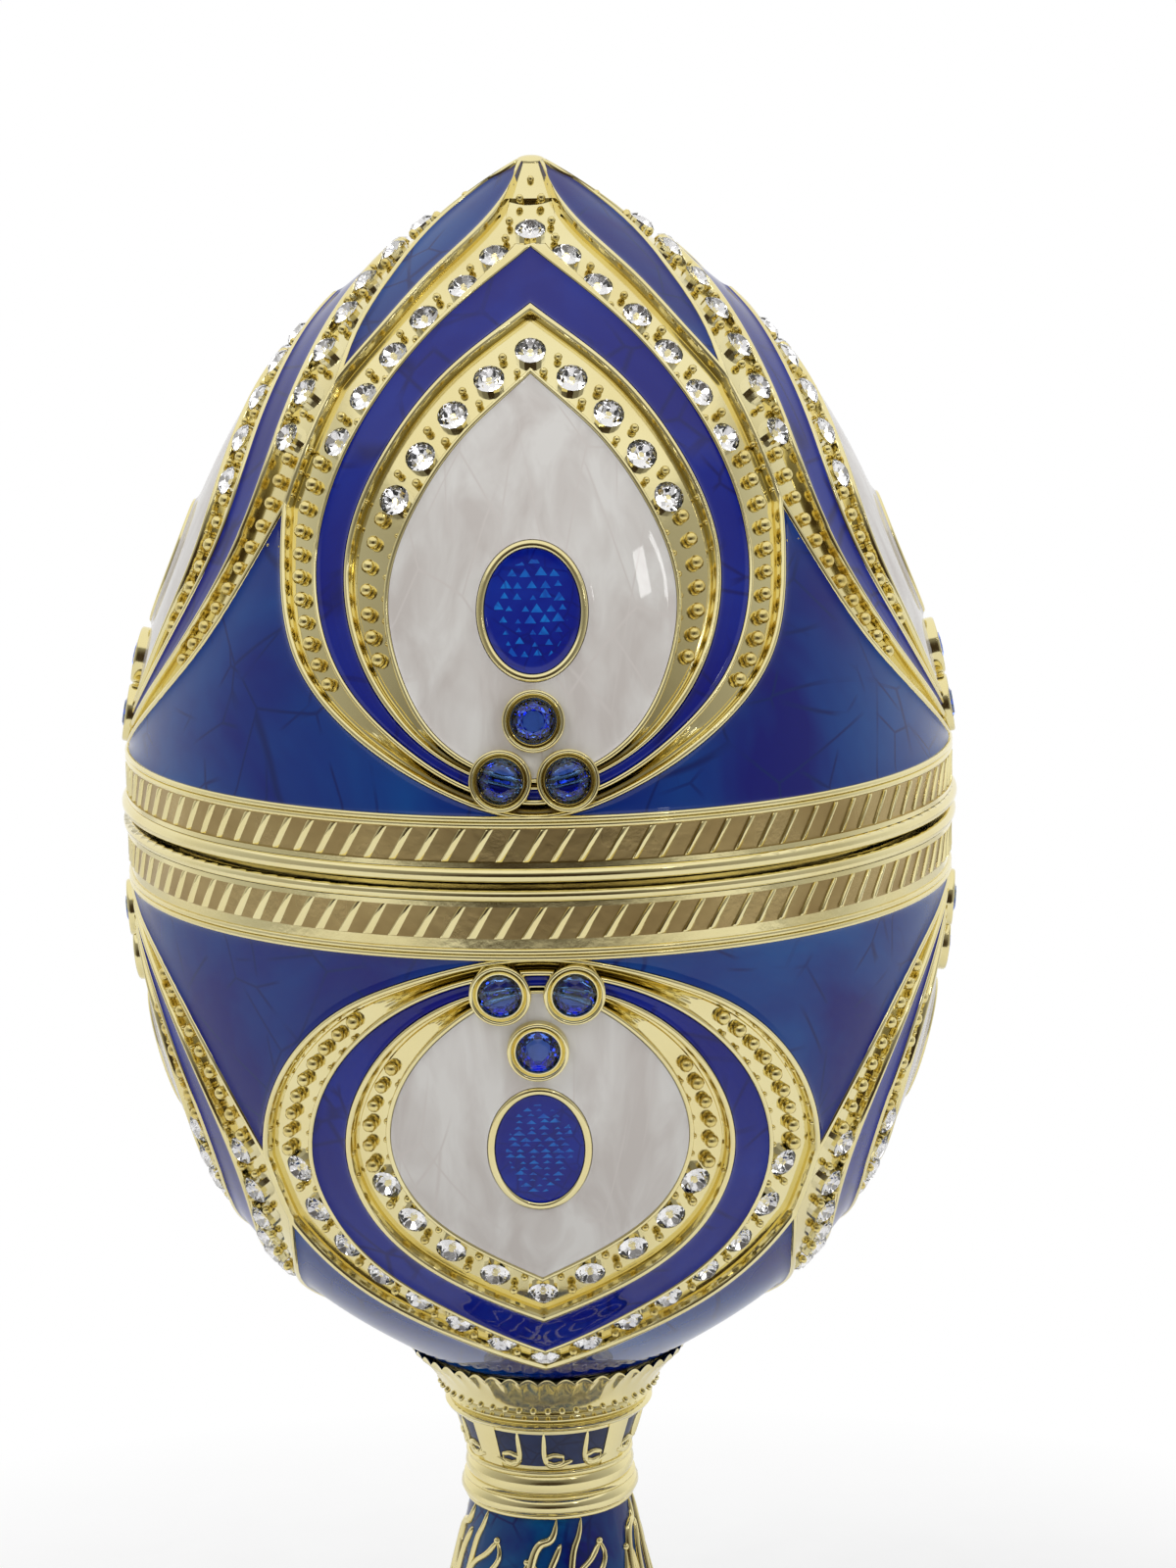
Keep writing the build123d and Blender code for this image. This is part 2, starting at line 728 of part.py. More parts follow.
def foot_rim_band():
    """The foot's band: round lips above and below a land for the flutes."""
    low = foot_rim_lift
    high = foot_bottom
    wall = foot_rim_radius - foot_lip_radius
    bore = foot_bottom_radius - foot_rim_wall
    seat_bore = plate_radius + plate_clearance
    ledge = felt_thickness + plate_thickness
    lip = 2 * foot_lip_radius
    edges = [
        bulge(wall, low, low + lip, foot_lip_radius),
        Line((wall, 0, low + lip), (wall, 0, high - lip)),
        bulge(wall, high - lip, high, foot_lip_radius),
        Polyline(
            (wall, 0, high), (bore, 0, high), (bore, 0, ledge), (seat_bore, 0, ledge), (seat_bore, 0, low),
            (wall, 0, low),
        ),
    ]
    return turned(*edges)


nut_seat = foot_top - foot_web_height - washer_thickness
screw_end = nut_seat - nut_height - screw_tail


def tie_screw():
    head = post(screw_head_radius, screw_seat, screw_head_top)
    return head + post(screw_radius, screw_end, screw_seat)


def tie_nut():
    low = nut_seat - nut_height
    body = extrude(Pos(0, 0, low) * RegularPolygon(nut_across_flats / sqrt(3), 6), amount=nut_height)
    return body - post(screw_radius + nut_thread_clearance, low - overrun, nut_seat + overrun)


def body_shell_floor(shell):
    """The lower shell with a flat pad for the screw's head and the screw's hole."""
    pad = post(screw_head_radius + wall_depth, egg_bottom, screw_seat) & lower.core(bed_depth)
    shell += pad
    return bored(shell, egg_bottom, screw_seat)


upper = Half(lid_outline_shares, lid_seat, lid_shell_height, 1)
lower = Half(body_outline_shares, body_seat, body_shell_height, -1)
lid_motif = Motif(
    upper,
    {
        "outer": lid_outer_shares, "ribbon": lid_ribbon_shares,
        "inner": lid_inner_shares, "white": lid_white_shares,
    },
    (lid_oval_share, lid_oval_half_width, lid_oval_half_height),
    lid_blue_stone_shares,
    lid_inner_stone_shares + lid_outer_stone_shares,
)
body_motif = Motif(
    lower,
    {
        "outer": body_outer_shares, "ribbon": body_ribbon_shares,
        "inner": body_inner_shares, "white": body_white_shares,
    },
    (body_oval_share, body_oval_half_width, body_oval_half_height),
    body_blue_stone_shares,
    body_inner_stone_shares + body_outer_stone_shares,
)

nodes = dressed_half("lid", upper, lid_motif)
nodes.update(dressed_half("body", lower, body_motif))
nodes["body_shell"] = body_shell_floor(nodes["body_shell"])
nodes["lid_rim_band"] = lid_rim()
nodes["body_rim_band"] = body_rim()
nodes["lid_magnet"] = magnet(1, lid_magnet_face, magnet_radius)
nodes["body_magnet"] = magnet(-1, body_magnet_face, magnet_radius)
nodes["hinge_upper_leaf"] = leaf(1, upper_knuckles)
nodes["hinge_lower_leaf"] = leaf(-1, lower_knuckles)
pin_end = hinge_width / 2
nodes["hinge_pin"] = (
    barrel(pin_radius, hinge_width, 0)
    + barrel(pin_head_radius, pin_head_height, pin_end + pin_head_height / 2)
    + barrel(pin_head_radius, pin_head_height, -pin_end - pin_head_height / 2)
)
nodes["body_lining"] = liner(lower)
nodes["lotus_cup"] = lotus_cup(lower)
nodes["stem_neck"] = stem_neck()
nodes["neck_enamel"] = neck_enamel()
nodes["stem_collar"] = stem_collar()
nodes["foot_shell"] = foot_shell()
nodes["foot_enamel"] = foot_enamel()
nodes["foot_rim_band"] = foot_rim_band()
nodes["base_plate"] = post(plate_radius, felt_thickness, felt_thickness + plate_thickness)
nodes["felt_pad"] = post(plate_radius - felt_setback, 0, felt_thickness)
nodes["tie_screw"] = tie_screw()
nodes["tie_washer"] = ring(screw_hole_radius, washer_radius, nut_seat, nut_seat + washer_thickness)
nodes["tie_nut"] = tie_nut()

os.makedirs("parts", exist_ok=True)
for name, shape in nodes.items():
    solids = shape if isinstance(shape, list) else shape.solids()
    export_step(Compound(children=solids) if len(solids) > 1 else solids[0], f"parts/{name}.step")
    print(name, len(solids))
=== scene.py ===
# %% [markdown]
# # A decorative egg on its stand
#
# The real object is a small hinged box in the shape of an egg. It is cast in white metal, plated in
# pale gold, filled with coloured enamel and set with faceted glass stones. A cup of petals, a short
# neck, a collar and a flaring foot carry it.
#
# The solid model gives every piece its place and size. This notebook dresses it: it keeps the solids
# whose form is already right, and builds finer pieces over those that need more detail. All lengths
# are metres, the front faces -Y, and the origin is the middle of the foot's underside.

# %% Load the solid model
import bpy
import bmesh
import math
import numpy as np
from mathutils import Matrix, Vector


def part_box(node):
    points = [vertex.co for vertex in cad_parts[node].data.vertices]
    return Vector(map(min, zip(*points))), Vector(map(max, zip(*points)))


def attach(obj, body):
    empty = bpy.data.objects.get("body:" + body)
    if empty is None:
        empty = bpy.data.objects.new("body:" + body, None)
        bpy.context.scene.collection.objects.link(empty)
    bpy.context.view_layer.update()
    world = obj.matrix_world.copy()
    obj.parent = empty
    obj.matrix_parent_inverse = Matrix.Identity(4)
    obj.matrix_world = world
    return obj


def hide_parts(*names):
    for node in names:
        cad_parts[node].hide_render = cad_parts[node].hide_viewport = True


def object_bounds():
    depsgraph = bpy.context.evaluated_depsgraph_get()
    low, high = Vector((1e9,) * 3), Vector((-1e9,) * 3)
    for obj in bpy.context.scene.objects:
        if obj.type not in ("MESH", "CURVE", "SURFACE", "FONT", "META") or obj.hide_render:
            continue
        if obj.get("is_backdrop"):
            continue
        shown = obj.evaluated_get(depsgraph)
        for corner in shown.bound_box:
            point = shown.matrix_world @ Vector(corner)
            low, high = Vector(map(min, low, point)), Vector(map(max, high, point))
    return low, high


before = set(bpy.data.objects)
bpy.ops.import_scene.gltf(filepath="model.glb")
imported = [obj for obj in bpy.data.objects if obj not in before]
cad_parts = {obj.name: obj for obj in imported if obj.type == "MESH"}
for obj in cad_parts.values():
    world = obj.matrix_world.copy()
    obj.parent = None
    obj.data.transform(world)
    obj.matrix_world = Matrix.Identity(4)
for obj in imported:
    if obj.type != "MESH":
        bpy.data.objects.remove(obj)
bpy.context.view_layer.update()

MM = 0.001
LID, STAND = "lid", "egg_and_stand"

# %% [markdown]
# ## Driving sizes
#
# Everything on the egg follows two curved shells, one above and one below the opening. Each shell is
# described by a handful of points: the radius as a share of the egg's radius, and the height as a
# share of the shell's own height. The pointed motifs use the same two shares, seen from the front, so
# a few numbers place every band, enamel and stone.

# %% Sizes of the egg
EGG_RADIUS = 35.3 * MM
OPENING = 115.0 * MM
LID_SEAT = OPENING + 5.5 * MM
BODY_SEAT = OPENING - 6.0 * MM
LID_HEIGHT = 49.7 * MM
BODY_HEIGHT = 47.0 * MM
MOTIFS = 4

LINE_WIDTH = 0.65 * MM
ENAMEL_DEPTH = 0.34 * MM
CHANNEL_DEPTH = 0.85 * MM
SEAT_DEPTH = 1.12 * MM

LID_OUTLINE = (
    (0.999, 0), (0.952, 0.171), (0.848, 0.372), (0.704, 0.573), (0.487, 0.755), (0.212, 0.905), (0, 1),
)
BODY_OUTLINE = (
    (1, 0), (0.966, 0.256), (0.856, 0.511), (0.683, 0.713), (0.422, 0.872), (0.255, 0.945), (0, 1),
)

# %% Outlines of the motifs, from the tip to the foot
LID_MOTIF = {
    "white": (
        (0, 0.662), (0.142, 0.574), (0.253, 0.467), (0.318, 0.338), (0.293, 0.217), (0.218, 0.125),
        (0, 0.058),
    ),
    "inner": (
        (0, 0.768), (0.18, 0.674), (0.337, 0.539), (0.419, 0.39), (0.392, 0.239), (0.285, 0.127),
        (0.156, 0.066), (0, 0.04),
    ),
    "ribbon": (
        (0, 0.85), (0.17, 0.759), (0.328, 0.641), (0.448, 0.49), (0.484, 0.342), (0.431, 0.211),
        (0.289, 0.107), (0.156, 0.05), (0, 0.026),
    ),
    "outer": (
        (0, 1.016), (0.042, 0.954), (0.098, 0.901), (0.234, 0.813), (0.36, 0.72), (0.482, 0.618),
        (0.552, 0.513), (0.573, 0.37), (0.536, 0.223), (0.39, 0.107), (0.198, 0.03), (0, -0.006),
    ),
}
BODY_MOTIF = {
    "white": (
        (0, 0.6), (0.15, 0.534), (0.283, 0.447), (0.337, 0.335), (0.31, 0.236), (0.2, 0.125), (0, 0.056),
    ),
    "inner": (
        (0, 0.71), (0.18, 0.635), (0.359, 0.529), (0.445, 0.37), (0.4, 0.225), (0.25, 0.096), (0, 0.041),
    ),
    "ribbon": (
        (0, 0.795), (0.223, 0.684), (0.408, 0.579), (0.52, 0.415), (0.483, 0.247), (0.358, 0.125),
        (0.184, 0.05), (0, 0.026),
    ),
    "outer": (
        (0, 0.866), (0.235, 0.76), (0.448, 0.66), (0.565, 0.573), (0.632, 0.49), (0.649, 0.405),
        (0.59, 0.226), (0.448, 0.101), (0.249, 0.028), (0, -0.008),
    ),
}

# %% Places of the stones, in the same shares, on the right half of a motif
CLEAR_PLACES = {
    (LID, "inner"): ((0, 0.698), (0.094, 0.656), (0.176, 0.602), (0.249, 0.539), (0.308, 0.473)),
    (LID, "outer"): (
        (0, 0.879), (0.084, 0.84), (0.156, 0.794), (0.246, 0.746), (0.316, 0.689), (0.384, 0.625),
        (0.443, 0.555),
    ),
    ("body", "inner"): ((0, 0.639), (0.11, 0.598), (0.21, 0.549), (0.297, 0.49), (0.354, 0.423)),
    ("body", "outer"): (
        (0, 0.821), (0.102, 0.777), (0.198, 0.724), (0.292, 0.675), (0.38, 0.624), (0.459, 0.569),
        (0.525, 0.501), (0.562, 0.42),
    ),
}
BLUE_PLACES = {LID: ((0, 0.145), (0.074, 0.054)), "body": ((0, 0.156), (0.082, 0.058))}

# %% [markdown]
# ## Smooth curves through a few points
#
# A cubic spline is the draughtsman's bent strip: it passes through every point and bends as little as
# it can. Fixing the direction at an end gives the motif its pointed tip and its round foot.

# %% A spline helper
def bent_strip(points, count, first=None, last=None):
    """Evenly spaced points on a cubic spline; first and last are the end directions, free if None."""
    points = np.array(points, float)
    steps = np.linalg.norm(np.diff(points, axis=0), axis=1)
    slopes = np.diff(points, axis=0) / steps[:, None]
    size = len(points)
    system = np.zeros((size, size))
    wanted = np.zeros_like(points)
    for row in range(1, size - 1):
        before, after = steps[row - 1], steps[row]
        system[row, row - 1 : row + 2] = after, 2 * (before + after), before
        wanted[row] = 3 * (after * slopes[row - 1] + before * slopes[row])
    for row, beside, slope, direction in ((0, 1, slopes[0], first), (-1, -2, slopes[-1], last)):
        if direction is None:
            system[row, row], system[row, beside] = 2, 1
            wanted[row] = 3 * slope
        else:
            system[row, row] = 1
            wanted[row] = np.array(direction, float) / np.linalg.norm(direction)
    tangents = np.linalg.solve(system, wanted)
    fine = []
    share = np.linspace(0, 1, 60)[:, None]
    for i, step in enumerate(steps):
        rise = 3 * share**2 - 2 * share**3
        leave = share**3 - 2 * share**2 + share
        arrive = share**3 - share**2
        piece = points[i] + rise * (points[i + 1] - points[i])
        fine.append(piece + step * (leave * tangents[i] + arrive * tangents[i + 1]))
    return evenly(np.concatenate(fine), count)


def evenly(points, count):
    """The same line with its points spaced evenly by length."""
    length = np.concatenate([[0], np.cumsum(np.linalg.norm(np.diff(points, axis=0), axis=1))])
    places = np.linspace(0, length[-1], count)
    return np.stack([np.interp(places, length, axis) for axis in points.T], axis=1)


# %% [markdown]
# ## The two curved shells
#
# A place on the egg is an angle round its axis, a level, and a depth under the crest of the gold
# lines. Working in angle and level keeps every outline exactly on the egg, so bands and enamels meet
# without gaps. Where neighbouring motifs touch, their outlines stop at the plane between them.

# %% A shell of the egg
QUARTER = math.pi / MOTIFS


class Shell:
    """One half of the egg: its profile, and places on or under its surface."""

    def __init__(self, name, outline, seat, height, up, motif):
        self.name, self.seat, self.height, self.up, self.motif = name, seat, height, up, motif
        section = [(EGG_RADIUS * r, seat + up * height * h) for r, h in outline]
        profile = bent_strip(section, 600)
        slope = np.gradient(profile, axis=0)
        slope /= np.linalg.norm(slope, axis=1)[:, None]
        order = np.argsort(profile[:, 1])
        self.levels = profile[order, 1]
        self.radii = profile[order, 0]
        self.outward = np.abs(slope[order, 1])
        self.upward = up * np.abs(slope[order, 0])

    def level(self, share):
        return self.seat + self.up * self.height * np.asarray(share)

    def radius(self, level):
        return np.interp(level, self.levels, self.radii)

    def normal(self, angle, level):
        outward = np.interp(level, self.levels, self.outward)
        upward = np.interp(level, self.levels, self.upward)
        parts = np.stack([outward * np.sin(angle), -outward * np.cos(angle), upward], axis=-1)
        return parts / np.linalg.norm(parts, axis=-1, keepdims=True)

    def place(self, angle, level, depth=0.0):
        """Points at an angle and a level, a depth under the crest."""
        angle, level, depth = np.broadcast_arrays(angle, level, depth)
        radius = self.radius(level)
        crest = np.stack([radius * np.sin(angle), -radius * np.cos(angle), level], axis=-1)
        return crest - depth[..., None] * self.normal(angle, level)

    def spot(self, side_share, height_share):
        """Angle and level of a place seen from the front."""
        level = self.level(height_share)
        side = np.clip(EGG_RADIUS * np.asarray(side_share) / self.radius(level), -1, 1)
        return np.arcsin(side), level

    def half_outline(self, name, count):
        """One side of a motif's outline as angles and levels, from its tip to its foot."""
        shares = self.motif[name]
        points = [(EGG_RADIUS * x, self.level(h)) for x, h in shares]
        first = np.subtract(points[1], points[0])
        line = bent_strip(points, 4 * count, first, (-1, 0))
        top = self.levels[-1] if self.up > 0 else self.levels[0]
        line = line[self.up * line[:, 1] < self.up * top - 0.05 * MM]
        radius = self.radius(line[:, 1])
        angle = np.arcsin(np.clip(line[:, 0] / radius, 0, 1))
        limit = QUARTER + 0.5 * LINE_WIDTH / np.maximum(radius, 5 * MM)
        angle = np.minimum(angle, limit)
        return self.evenly_placed(angle, line[:, 1], count)

    def evenly_placed(self, angle, level, count):
        """The same line of places, spaced evenly over the surface."""
        points = self.place(angle, level)
        length = np.concatenate([[0], np.cumsum(np.linalg.norm(np.diff(points, axis=0), axis=1))])
        places = np.linspace(0, length[-1], count)
        return np.interp(places, length, angle), np.interp(places, length, level)

    def loop(self, name, count):
        """A motif's whole outline: down the right side and up the left."""
        angle, level = self.half_outline(name, count)
        return np.concatenate([angle, -angle[-2:0:-1]]), np.concatenate([level, level[-2:0:-1]])


lid_shell = Shell(LID, LID_OUTLINE, LID_SEAT, LID_HEIGHT, 1, LID_MOTIF)
body_shell = Shell("body", BODY_OUTLINE, BODY_SEAT, BODY_HEIGHT, -1, BODY_MOTIF)
shells = (lid_shell, body_shell)
ride_on = {LID: LID, "body": STAND}
print("tip", round(lid_shell.levels[-1] / MM, 1), "mm, bottom", round(body_shell.levels[0] / MM, 1), "mm")

# %% [markdown]
# ## From grids of points to meshes
#
# Bands and enamels are strips between two outlines. A strip is a closed tube of rectangular section
# that runs once round the motif, so it has an inside and an outside and can be cut like a solid. Its
# upper side follows a small profile: depths at distances from each edge, in millimetres.

# %% Mesh helpers
def mesh_from(name, points, faces):
    mesh = bpy.data.meshes.new(name)
    mesh.from_pydata([tuple(p) for p in points], [], [tuple(f) for f in faces])
    mesh.update()
    return mesh


def wrapped_grid(grid):
    """Vertices and quads of a grid whose rows and columns both close on themselves."""
    rows, columns = grid.shape[:2]
    index = np.arange(rows * columns).reshape(rows, columns)
    down = np.roll(index, -1, axis=0)
    right = np.roll(index, -1, axis=1)
    both = np.roll(down, -1, axis=1)
    quads = np.stack([index, down, both, right], axis=-1).reshape(-1, 4)
    return grid.reshape(-1, 3), quads


def rotated(points, angle):
    along, aside = math.cos(angle), math.sin(angle)
    turn = np.array([[along, aside, 0], [-aside, along, 0], [0, 0, 1]])
    return points @ turn


def finished(name, points, faces, body, material, smooth=40, replaces=(), slot=None):
    """An object from points and faces, outward-facing, riding on its body."""
    mesh = mesh_from(name, points, faces)
    return finished_mesh(name, mesh, body, material, smooth, replaces)


def finished_mesh(name, mesh, body, material, smooth=40, replaces=()):
    work = bmesh.new()
    work.from_mesh(mesh)
    bmesh.ops.remove_doubles(work, verts=work.verts, dist=0.002 * MM)
    bmesh.ops.recalc_face_normals(work, faces=work.faces)
    work.to_mesh(mesh)
    work.free()
    mesh.materials.clear()
    mesh.materials.append(material)
    mesh.shade_smooth()
    if smooth < 180:
        mesh.set_sharp_from_angle(angle=math.radians(smooth))
    piece = bpy.data.objects.new(name, mesh)
    bpy.context.scene.collection.objects.link(piece)
    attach(piece, body)
    if replaces:
        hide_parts(*replaces)
    print(name, len(mesh.polygons), "faces")
    return piece


def four_times(points, faces):
    """A motif's mesh, repeated at every side of the egg."""
    faces = np.asarray(faces)
    every = [rotated(points, k * 2 * QUARTER) for k in range(MOTIFS)]
    shifted = [faces + k * len(points) for k in range(MOTIFS)]
    return np.concatenate(every), np.concatenate(shifted)


# %% A strip between two outlines
def strip_frame(shell, outer, inner):
    """Distance between two outlines at each station, and how far the strip leans from square."""
    outer_points = shell.place(*outer)
    inner_points = shell.place(*inner)
    across = inner_points - outer_points
    length = np.linalg.norm(across, axis=1)
    ahead = np.roll(outer_points, -1, axis=0) - outer_points
    behind = outer_points - np.roll(outer_points, 1, axis=0)
    square = []
    for run in (ahead, behind):
        side = np.cross(run, shell.normal(*outer))
        side /= np.maximum(np.linalg.norm(side, axis=1, keepdims=True), 1e-9)
        square.append(np.abs((side * across).sum(axis=1)) / np.maximum(length, 1e-9))
    return length, np.clip(np.maximum(*square), 0.3, 1)


def edge_columns(profile, width):
    """Shares of the width, and depths, of an edge profile at every station."""
    shrink = np.minimum(1, 0.46 * width / profile[-1][0])
    shares = [np.minimum(distance * shrink / np.maximum(width, 1e-9), 0.499) for distance, _ in profile]
    return shares, [np.full_like(width, depth) for _, depth in profile]


def strip(shell, outer, inner, profile, floor, middle_rows=2, seat=SEAT_DEPTH, far_profile=None):
    """Grid of a strip: an edge profile comes in from each side, and the floor lies between them.

    The floor is one depth, or a function of the share across the floor that gives each station's depth.
    """
    length, lean = strip_frame(shell, outer, inner)
    width = length * lean
    shares, depths = edge_columns(profile, width)
    far_shares, far_depths = edge_columns(far_profile or profile, width)
    first, last = shares[-1], 1 - far_shares[-1]
    for step in range(1, middle_rows + 1):
        across = step / (middle_rows + 1)
        shares.append(first + (last - first) * across)
        depths.append(floor(across) if callable(floor) else np.full_like(first, floor))
    shares += [1 - share for share in reversed(far_shares)]
    depths += list(reversed(far_depths))
    shares, depths = np.array(shares), np.array(depths)
    angle = outer[0] + shares * (inner[0] - outer[0])
    level = outer[1] + shares * (inner[1] - outer[1])
    top = shell.place(angle, level, depths)
    under = shell.place(angle[[-1, 0]], level[[-1, 0]], seat)
    return np.concatenate([top, under])


def clipped(points, faces):
    """The part of a front motif's mesh between the planes where it meets its neighbours."""
    work = bmesh.new()
    verts = [work.verts.new(p) for p in points]
    for face in faces:
        work.faces.new([verts[i] for i in face])
    bmesh.ops.remove_doubles(work, verts=work.verts, dist=0.002 * MM)
    for side in (1, -1):
        geometry = work.verts[:] + work.edges[:] + work.faces[:]
        normal = Vector((side, 1, 0)).normalized()
        cut = bmesh.ops.bisect_plane(
            work, geom=geometry, plane_co=(0, 0, 0), plane_no=normal, clear_outer=True
        )
        rim = [e for e in cut["geom_cut"] if isinstance(e, bmesh.types.BMEdge)]
        bmesh.ops.holes_fill(work, edges=rim, sides=0)
    bmesh.ops.triangulate(work, faces=[f for f in work.faces if len(f.verts) > 4])
    work.verts.index_update()
    points = np.array([v.co for v in work.verts])
    faces = [[v.index for v in f.verts] for f in work.faces]
    work.free()
    return points, faces


# %% [markdown]
# ## Finishes
#
# Three effects are shared by several finishes, so each is a node group with named inputs. The first
# gives cast metal its slightly uneven polish. The second gives fired enamel its clouds and its fine
# straight craze lines. The third draws the fibres of flocking and felt. The groups only put out masks
# and heights; the colours and the shader itself stay in each material.

# %% Node helpers
def add_node(tree, kind, inputs=None, **settings):
    node = tree.nodes.new(kind)
    for key, value in settings.items():
        setattr(node, key, value)
    for key, value in (inputs or {}).items():
        node.inputs[key].default_value = value
    return node


def new_group(name, inputs, outputs):
    """A shader node group with float inputs and the named outputs."""
    group = bpy.data.node_groups.new(name, "ShaderNodeTree")
    for label, value in inputs.items():
        socket = group.interface.new_socket(label, in_out="INPUT", socket_type="NodeSocketFloat")
        socket.default_value = value
    for label, kind in outputs.items():
        group.interface.new_socket(label, in_out="OUTPUT", socket_type=kind)
    return group, group.nodes.new("NodeGroupInput"), group.nodes.new("NodeGroupOutput")


def ramp_of(tree, stops, source):
    ramp = tree.nodes.new("ShaderNodeMapRange")
    for key, value in zip(("From Min", "From Max", "To Min", "To Max"), stops):
        ramp.inputs[key].default_value = value
    tree.links.new(source, ramp.inputs["Value"])
    return ramp.outputs["Result"]


def mixed_colour(tree, factor, first, second):
    mix = tree.nodes.new("ShaderNodeMix")
    mix.data_type = "RGBA"
    tree.links.new(factor, mix.inputs[0])
    for socket, colour in ((mix.inputs[6], first), (mix.inputs[7], second)):
        if isinstance(colour, tuple):
            socket.default_value = (*colour, 1)
        else:
            tree.links.new(colour, socket)
    return mix.outputs[2]


# %% The polish of cast metal
FLOAT = "NodeSocketFloat"
polish, enter, leave = new_group(
    "cast_polish", {"Grain": 900.0, "Cloud": 120.0}, {"Tone": FLOAT, "Height": FLOAT}
)
where = add_node(polish, "ShaderNodeTexCoord")
grain = add_node(polish, "ShaderNodeTexNoise", {"Detail": 3.0})
cloud = add_node(polish, "ShaderNodeTexNoise", {"Detail": 2.0})
for texture, label in ((grain, "Grain"), (cloud, "Cloud")):
    polish.links.new(where.outputs["Object"], texture.inputs["Vector"])
    polish.links.new(enter.outputs[label], texture.inputs["Scale"])
polish.links.new(cloud.outputs["Fac"], leave.inputs["Tone"])
polish.links.new(grain.outputs["Fac"], leave.inputs["Height"])

# %% The clouds and craze lines of fired enamel
fired, enter, leave = new_group(
    "fired_enamel", {"Cloud": 60.0, "Craze": 260.0, "Line": 0.05, "Stretch": 1.0},
    {"Cloud": FLOAT, "Craze": FLOAT},
)
where = add_node(fired, "ShaderNodeTexCoord")
stretch = add_node(fired, "ShaderNodeCombineXYZ", {"X": 1.0, "Y": 1.0})
fired.links.new(enter.outputs["Stretch"], stretch.inputs["Z"])
scaled = add_node(fired, "ShaderNodeVectorMath", operation="MULTIPLY")
fired.links.new(where.outputs["Object"], scaled.inputs[0])
fired.links.new(stretch.outputs["Vector"], scaled.inputs[1])
cloud = add_node(fired, "ShaderNodeTexNoise", {"Detail": 4.0, "Distortion": 0.6})
fired.links.new(scaled.outputs["Vector"], cloud.inputs["Vector"])
fired.links.new(enter.outputs["Cloud"], cloud.inputs["Scale"])
fired.links.new(cloud.outputs["Fac"], leave.inputs["Cloud"])
CRAZE_LAYERS = (((0.0, 0.0, 0.0), 0.0), ((0.31, 0.17, 0.05), 0.9), ((0.11, 0.43, 0.29), 2.1))
lines = None
for shift, turn in CRAZE_LAYERS:
    moved = add_node(fired, "ShaderNodeMapping", {"Location": shift, "Rotation": (turn, turn / 2, turn / 3)})
    fired.links.new(scaled.outputs["Vector"], moved.inputs["Vector"])
    craze = add_node(fired, "ShaderNodeTexVoronoi", feature="DISTANCE_TO_EDGE")
    fired.links.new(moved.outputs["Vector"], craze.inputs["Vector"])
    fired.links.new(enter.outputs["Craze"], craze.inputs["Scale"])
    edge = add_node(fired, "ShaderNodeMapRange", {"From Min": 0.0}, interpolation_type="SMOOTHSTEP")
    fired.links.new(craze.outputs["Distance"], edge.inputs["Value"])
    fired.links.new(enter.outputs["Line"], edge.inputs["From Max"])
    patch = add_node(fired, "ShaderNodeTexNoise", {"Scale": 150.0, "Detail": 1.0})
    fired.links.new(moved.outputs["Vector"], patch.inputs["Vector"])
    faded = add_node(fired, "ShaderNodeMath", operation="MAXIMUM")
    fired.links.new(edge.outputs["Result"], faded.inputs[0])
    fired.links.new(ramp_of(fired, (0.46, 0.56, 1, 0), patch.outputs["Fac"]), faded.inputs[1])
    if lines is None:
        lines = faded.outputs[0]
    else:
        both = add_node(fired, "ShaderNodeMath", operation="MULTIPLY")
        fired.links.new(lines, both.inputs[0])
        fired.links.new(faded.outputs[0], both.inputs[1])
        lines = both.outputs[0]
fired.links.new(lines, leave.inputs["Craze"])

# %% The fibres of flocking and felt
fibres, enter, leave = new_group("short_fibres", {"Fibre": 2500.0}, {"Tone": FLOAT, "Height": FLOAT})
where = add_node(fibres, "ShaderNodeTexCoord")
fibre = add_node(fibres, "ShaderNodeTexNoise", {"Detail": 5.0, "Roughness": 0.7})
fibres.links.new(where.outputs["Object"], fibre.inputs["Vector"])
fibres.links.new(enter.outputs["Fibre"], fibre.inputs["Scale"])
fibres.links.new(fibre.outputs["Fac"], leave.inputs["Tone"])
fibres.links.new(fibre.outputs["Fac"], leave.inputs["Height"])


# %% A material with its effect
def new_material(name, group=None, group_inputs=None, **sockets):
    """A material, its shader and its effect node; sockets are the shader's own plain values."""
    material = bpy.data.materials.new(name)
    material.use_nodes = True
    shader = material.node_tree.nodes["Principled BSDF"]
    for label, value in sockets.items():
        label = "Specular IOR Level" if label == "specular_ior_level" else label.replace("_", " ").title()
        socket = shader.inputs[label.replace("Ior", "IOR")]
        socket.default_value = value
    effect = None
    if group is not None:
        effect = add_node(material.node_tree, "ShaderNodeGroup", node_tree=group)
        for label, value in (group_inputs or {}).items():
            effect.inputs[label].default_value = value
    return material, material.node_tree, shader, effect


def raised(tree, shader, height, distance, strength=1.0):
    bump = add_node(tree, "ShaderNodeBump", {"Strength": strength, "Distance": distance})
    tree.links.new(height, bump.inputs["Height"])
    tree.links.new(bump.outputs["Normal"], shader.inputs["Normal"])


def metal(name, bright, deep, rough, uneven, grain, height):
    """A plated or plain metal: bright and deep tones, roughness range, grain scale and height."""
    material, tree, shader, effect = new_material(name, polish, {"Grain": grain}, metallic=1.0)
    tone = ramp_of(tree, (0.35, 0.7, 0, 1), effect.outputs["Tone"])
    tree.links.new(mixed_colour(tree, tone, bright, deep), shader.inputs["Base Color"])
    roughness = ramp_of(tree, (0.3, 0.7, rough, rough + uneven), effect.outputs["Tone"])
    tree.links.new(roughness, shader.inputs["Roughness"])
    raised(tree, shader, effect.outputs["Height"], height)
    return material


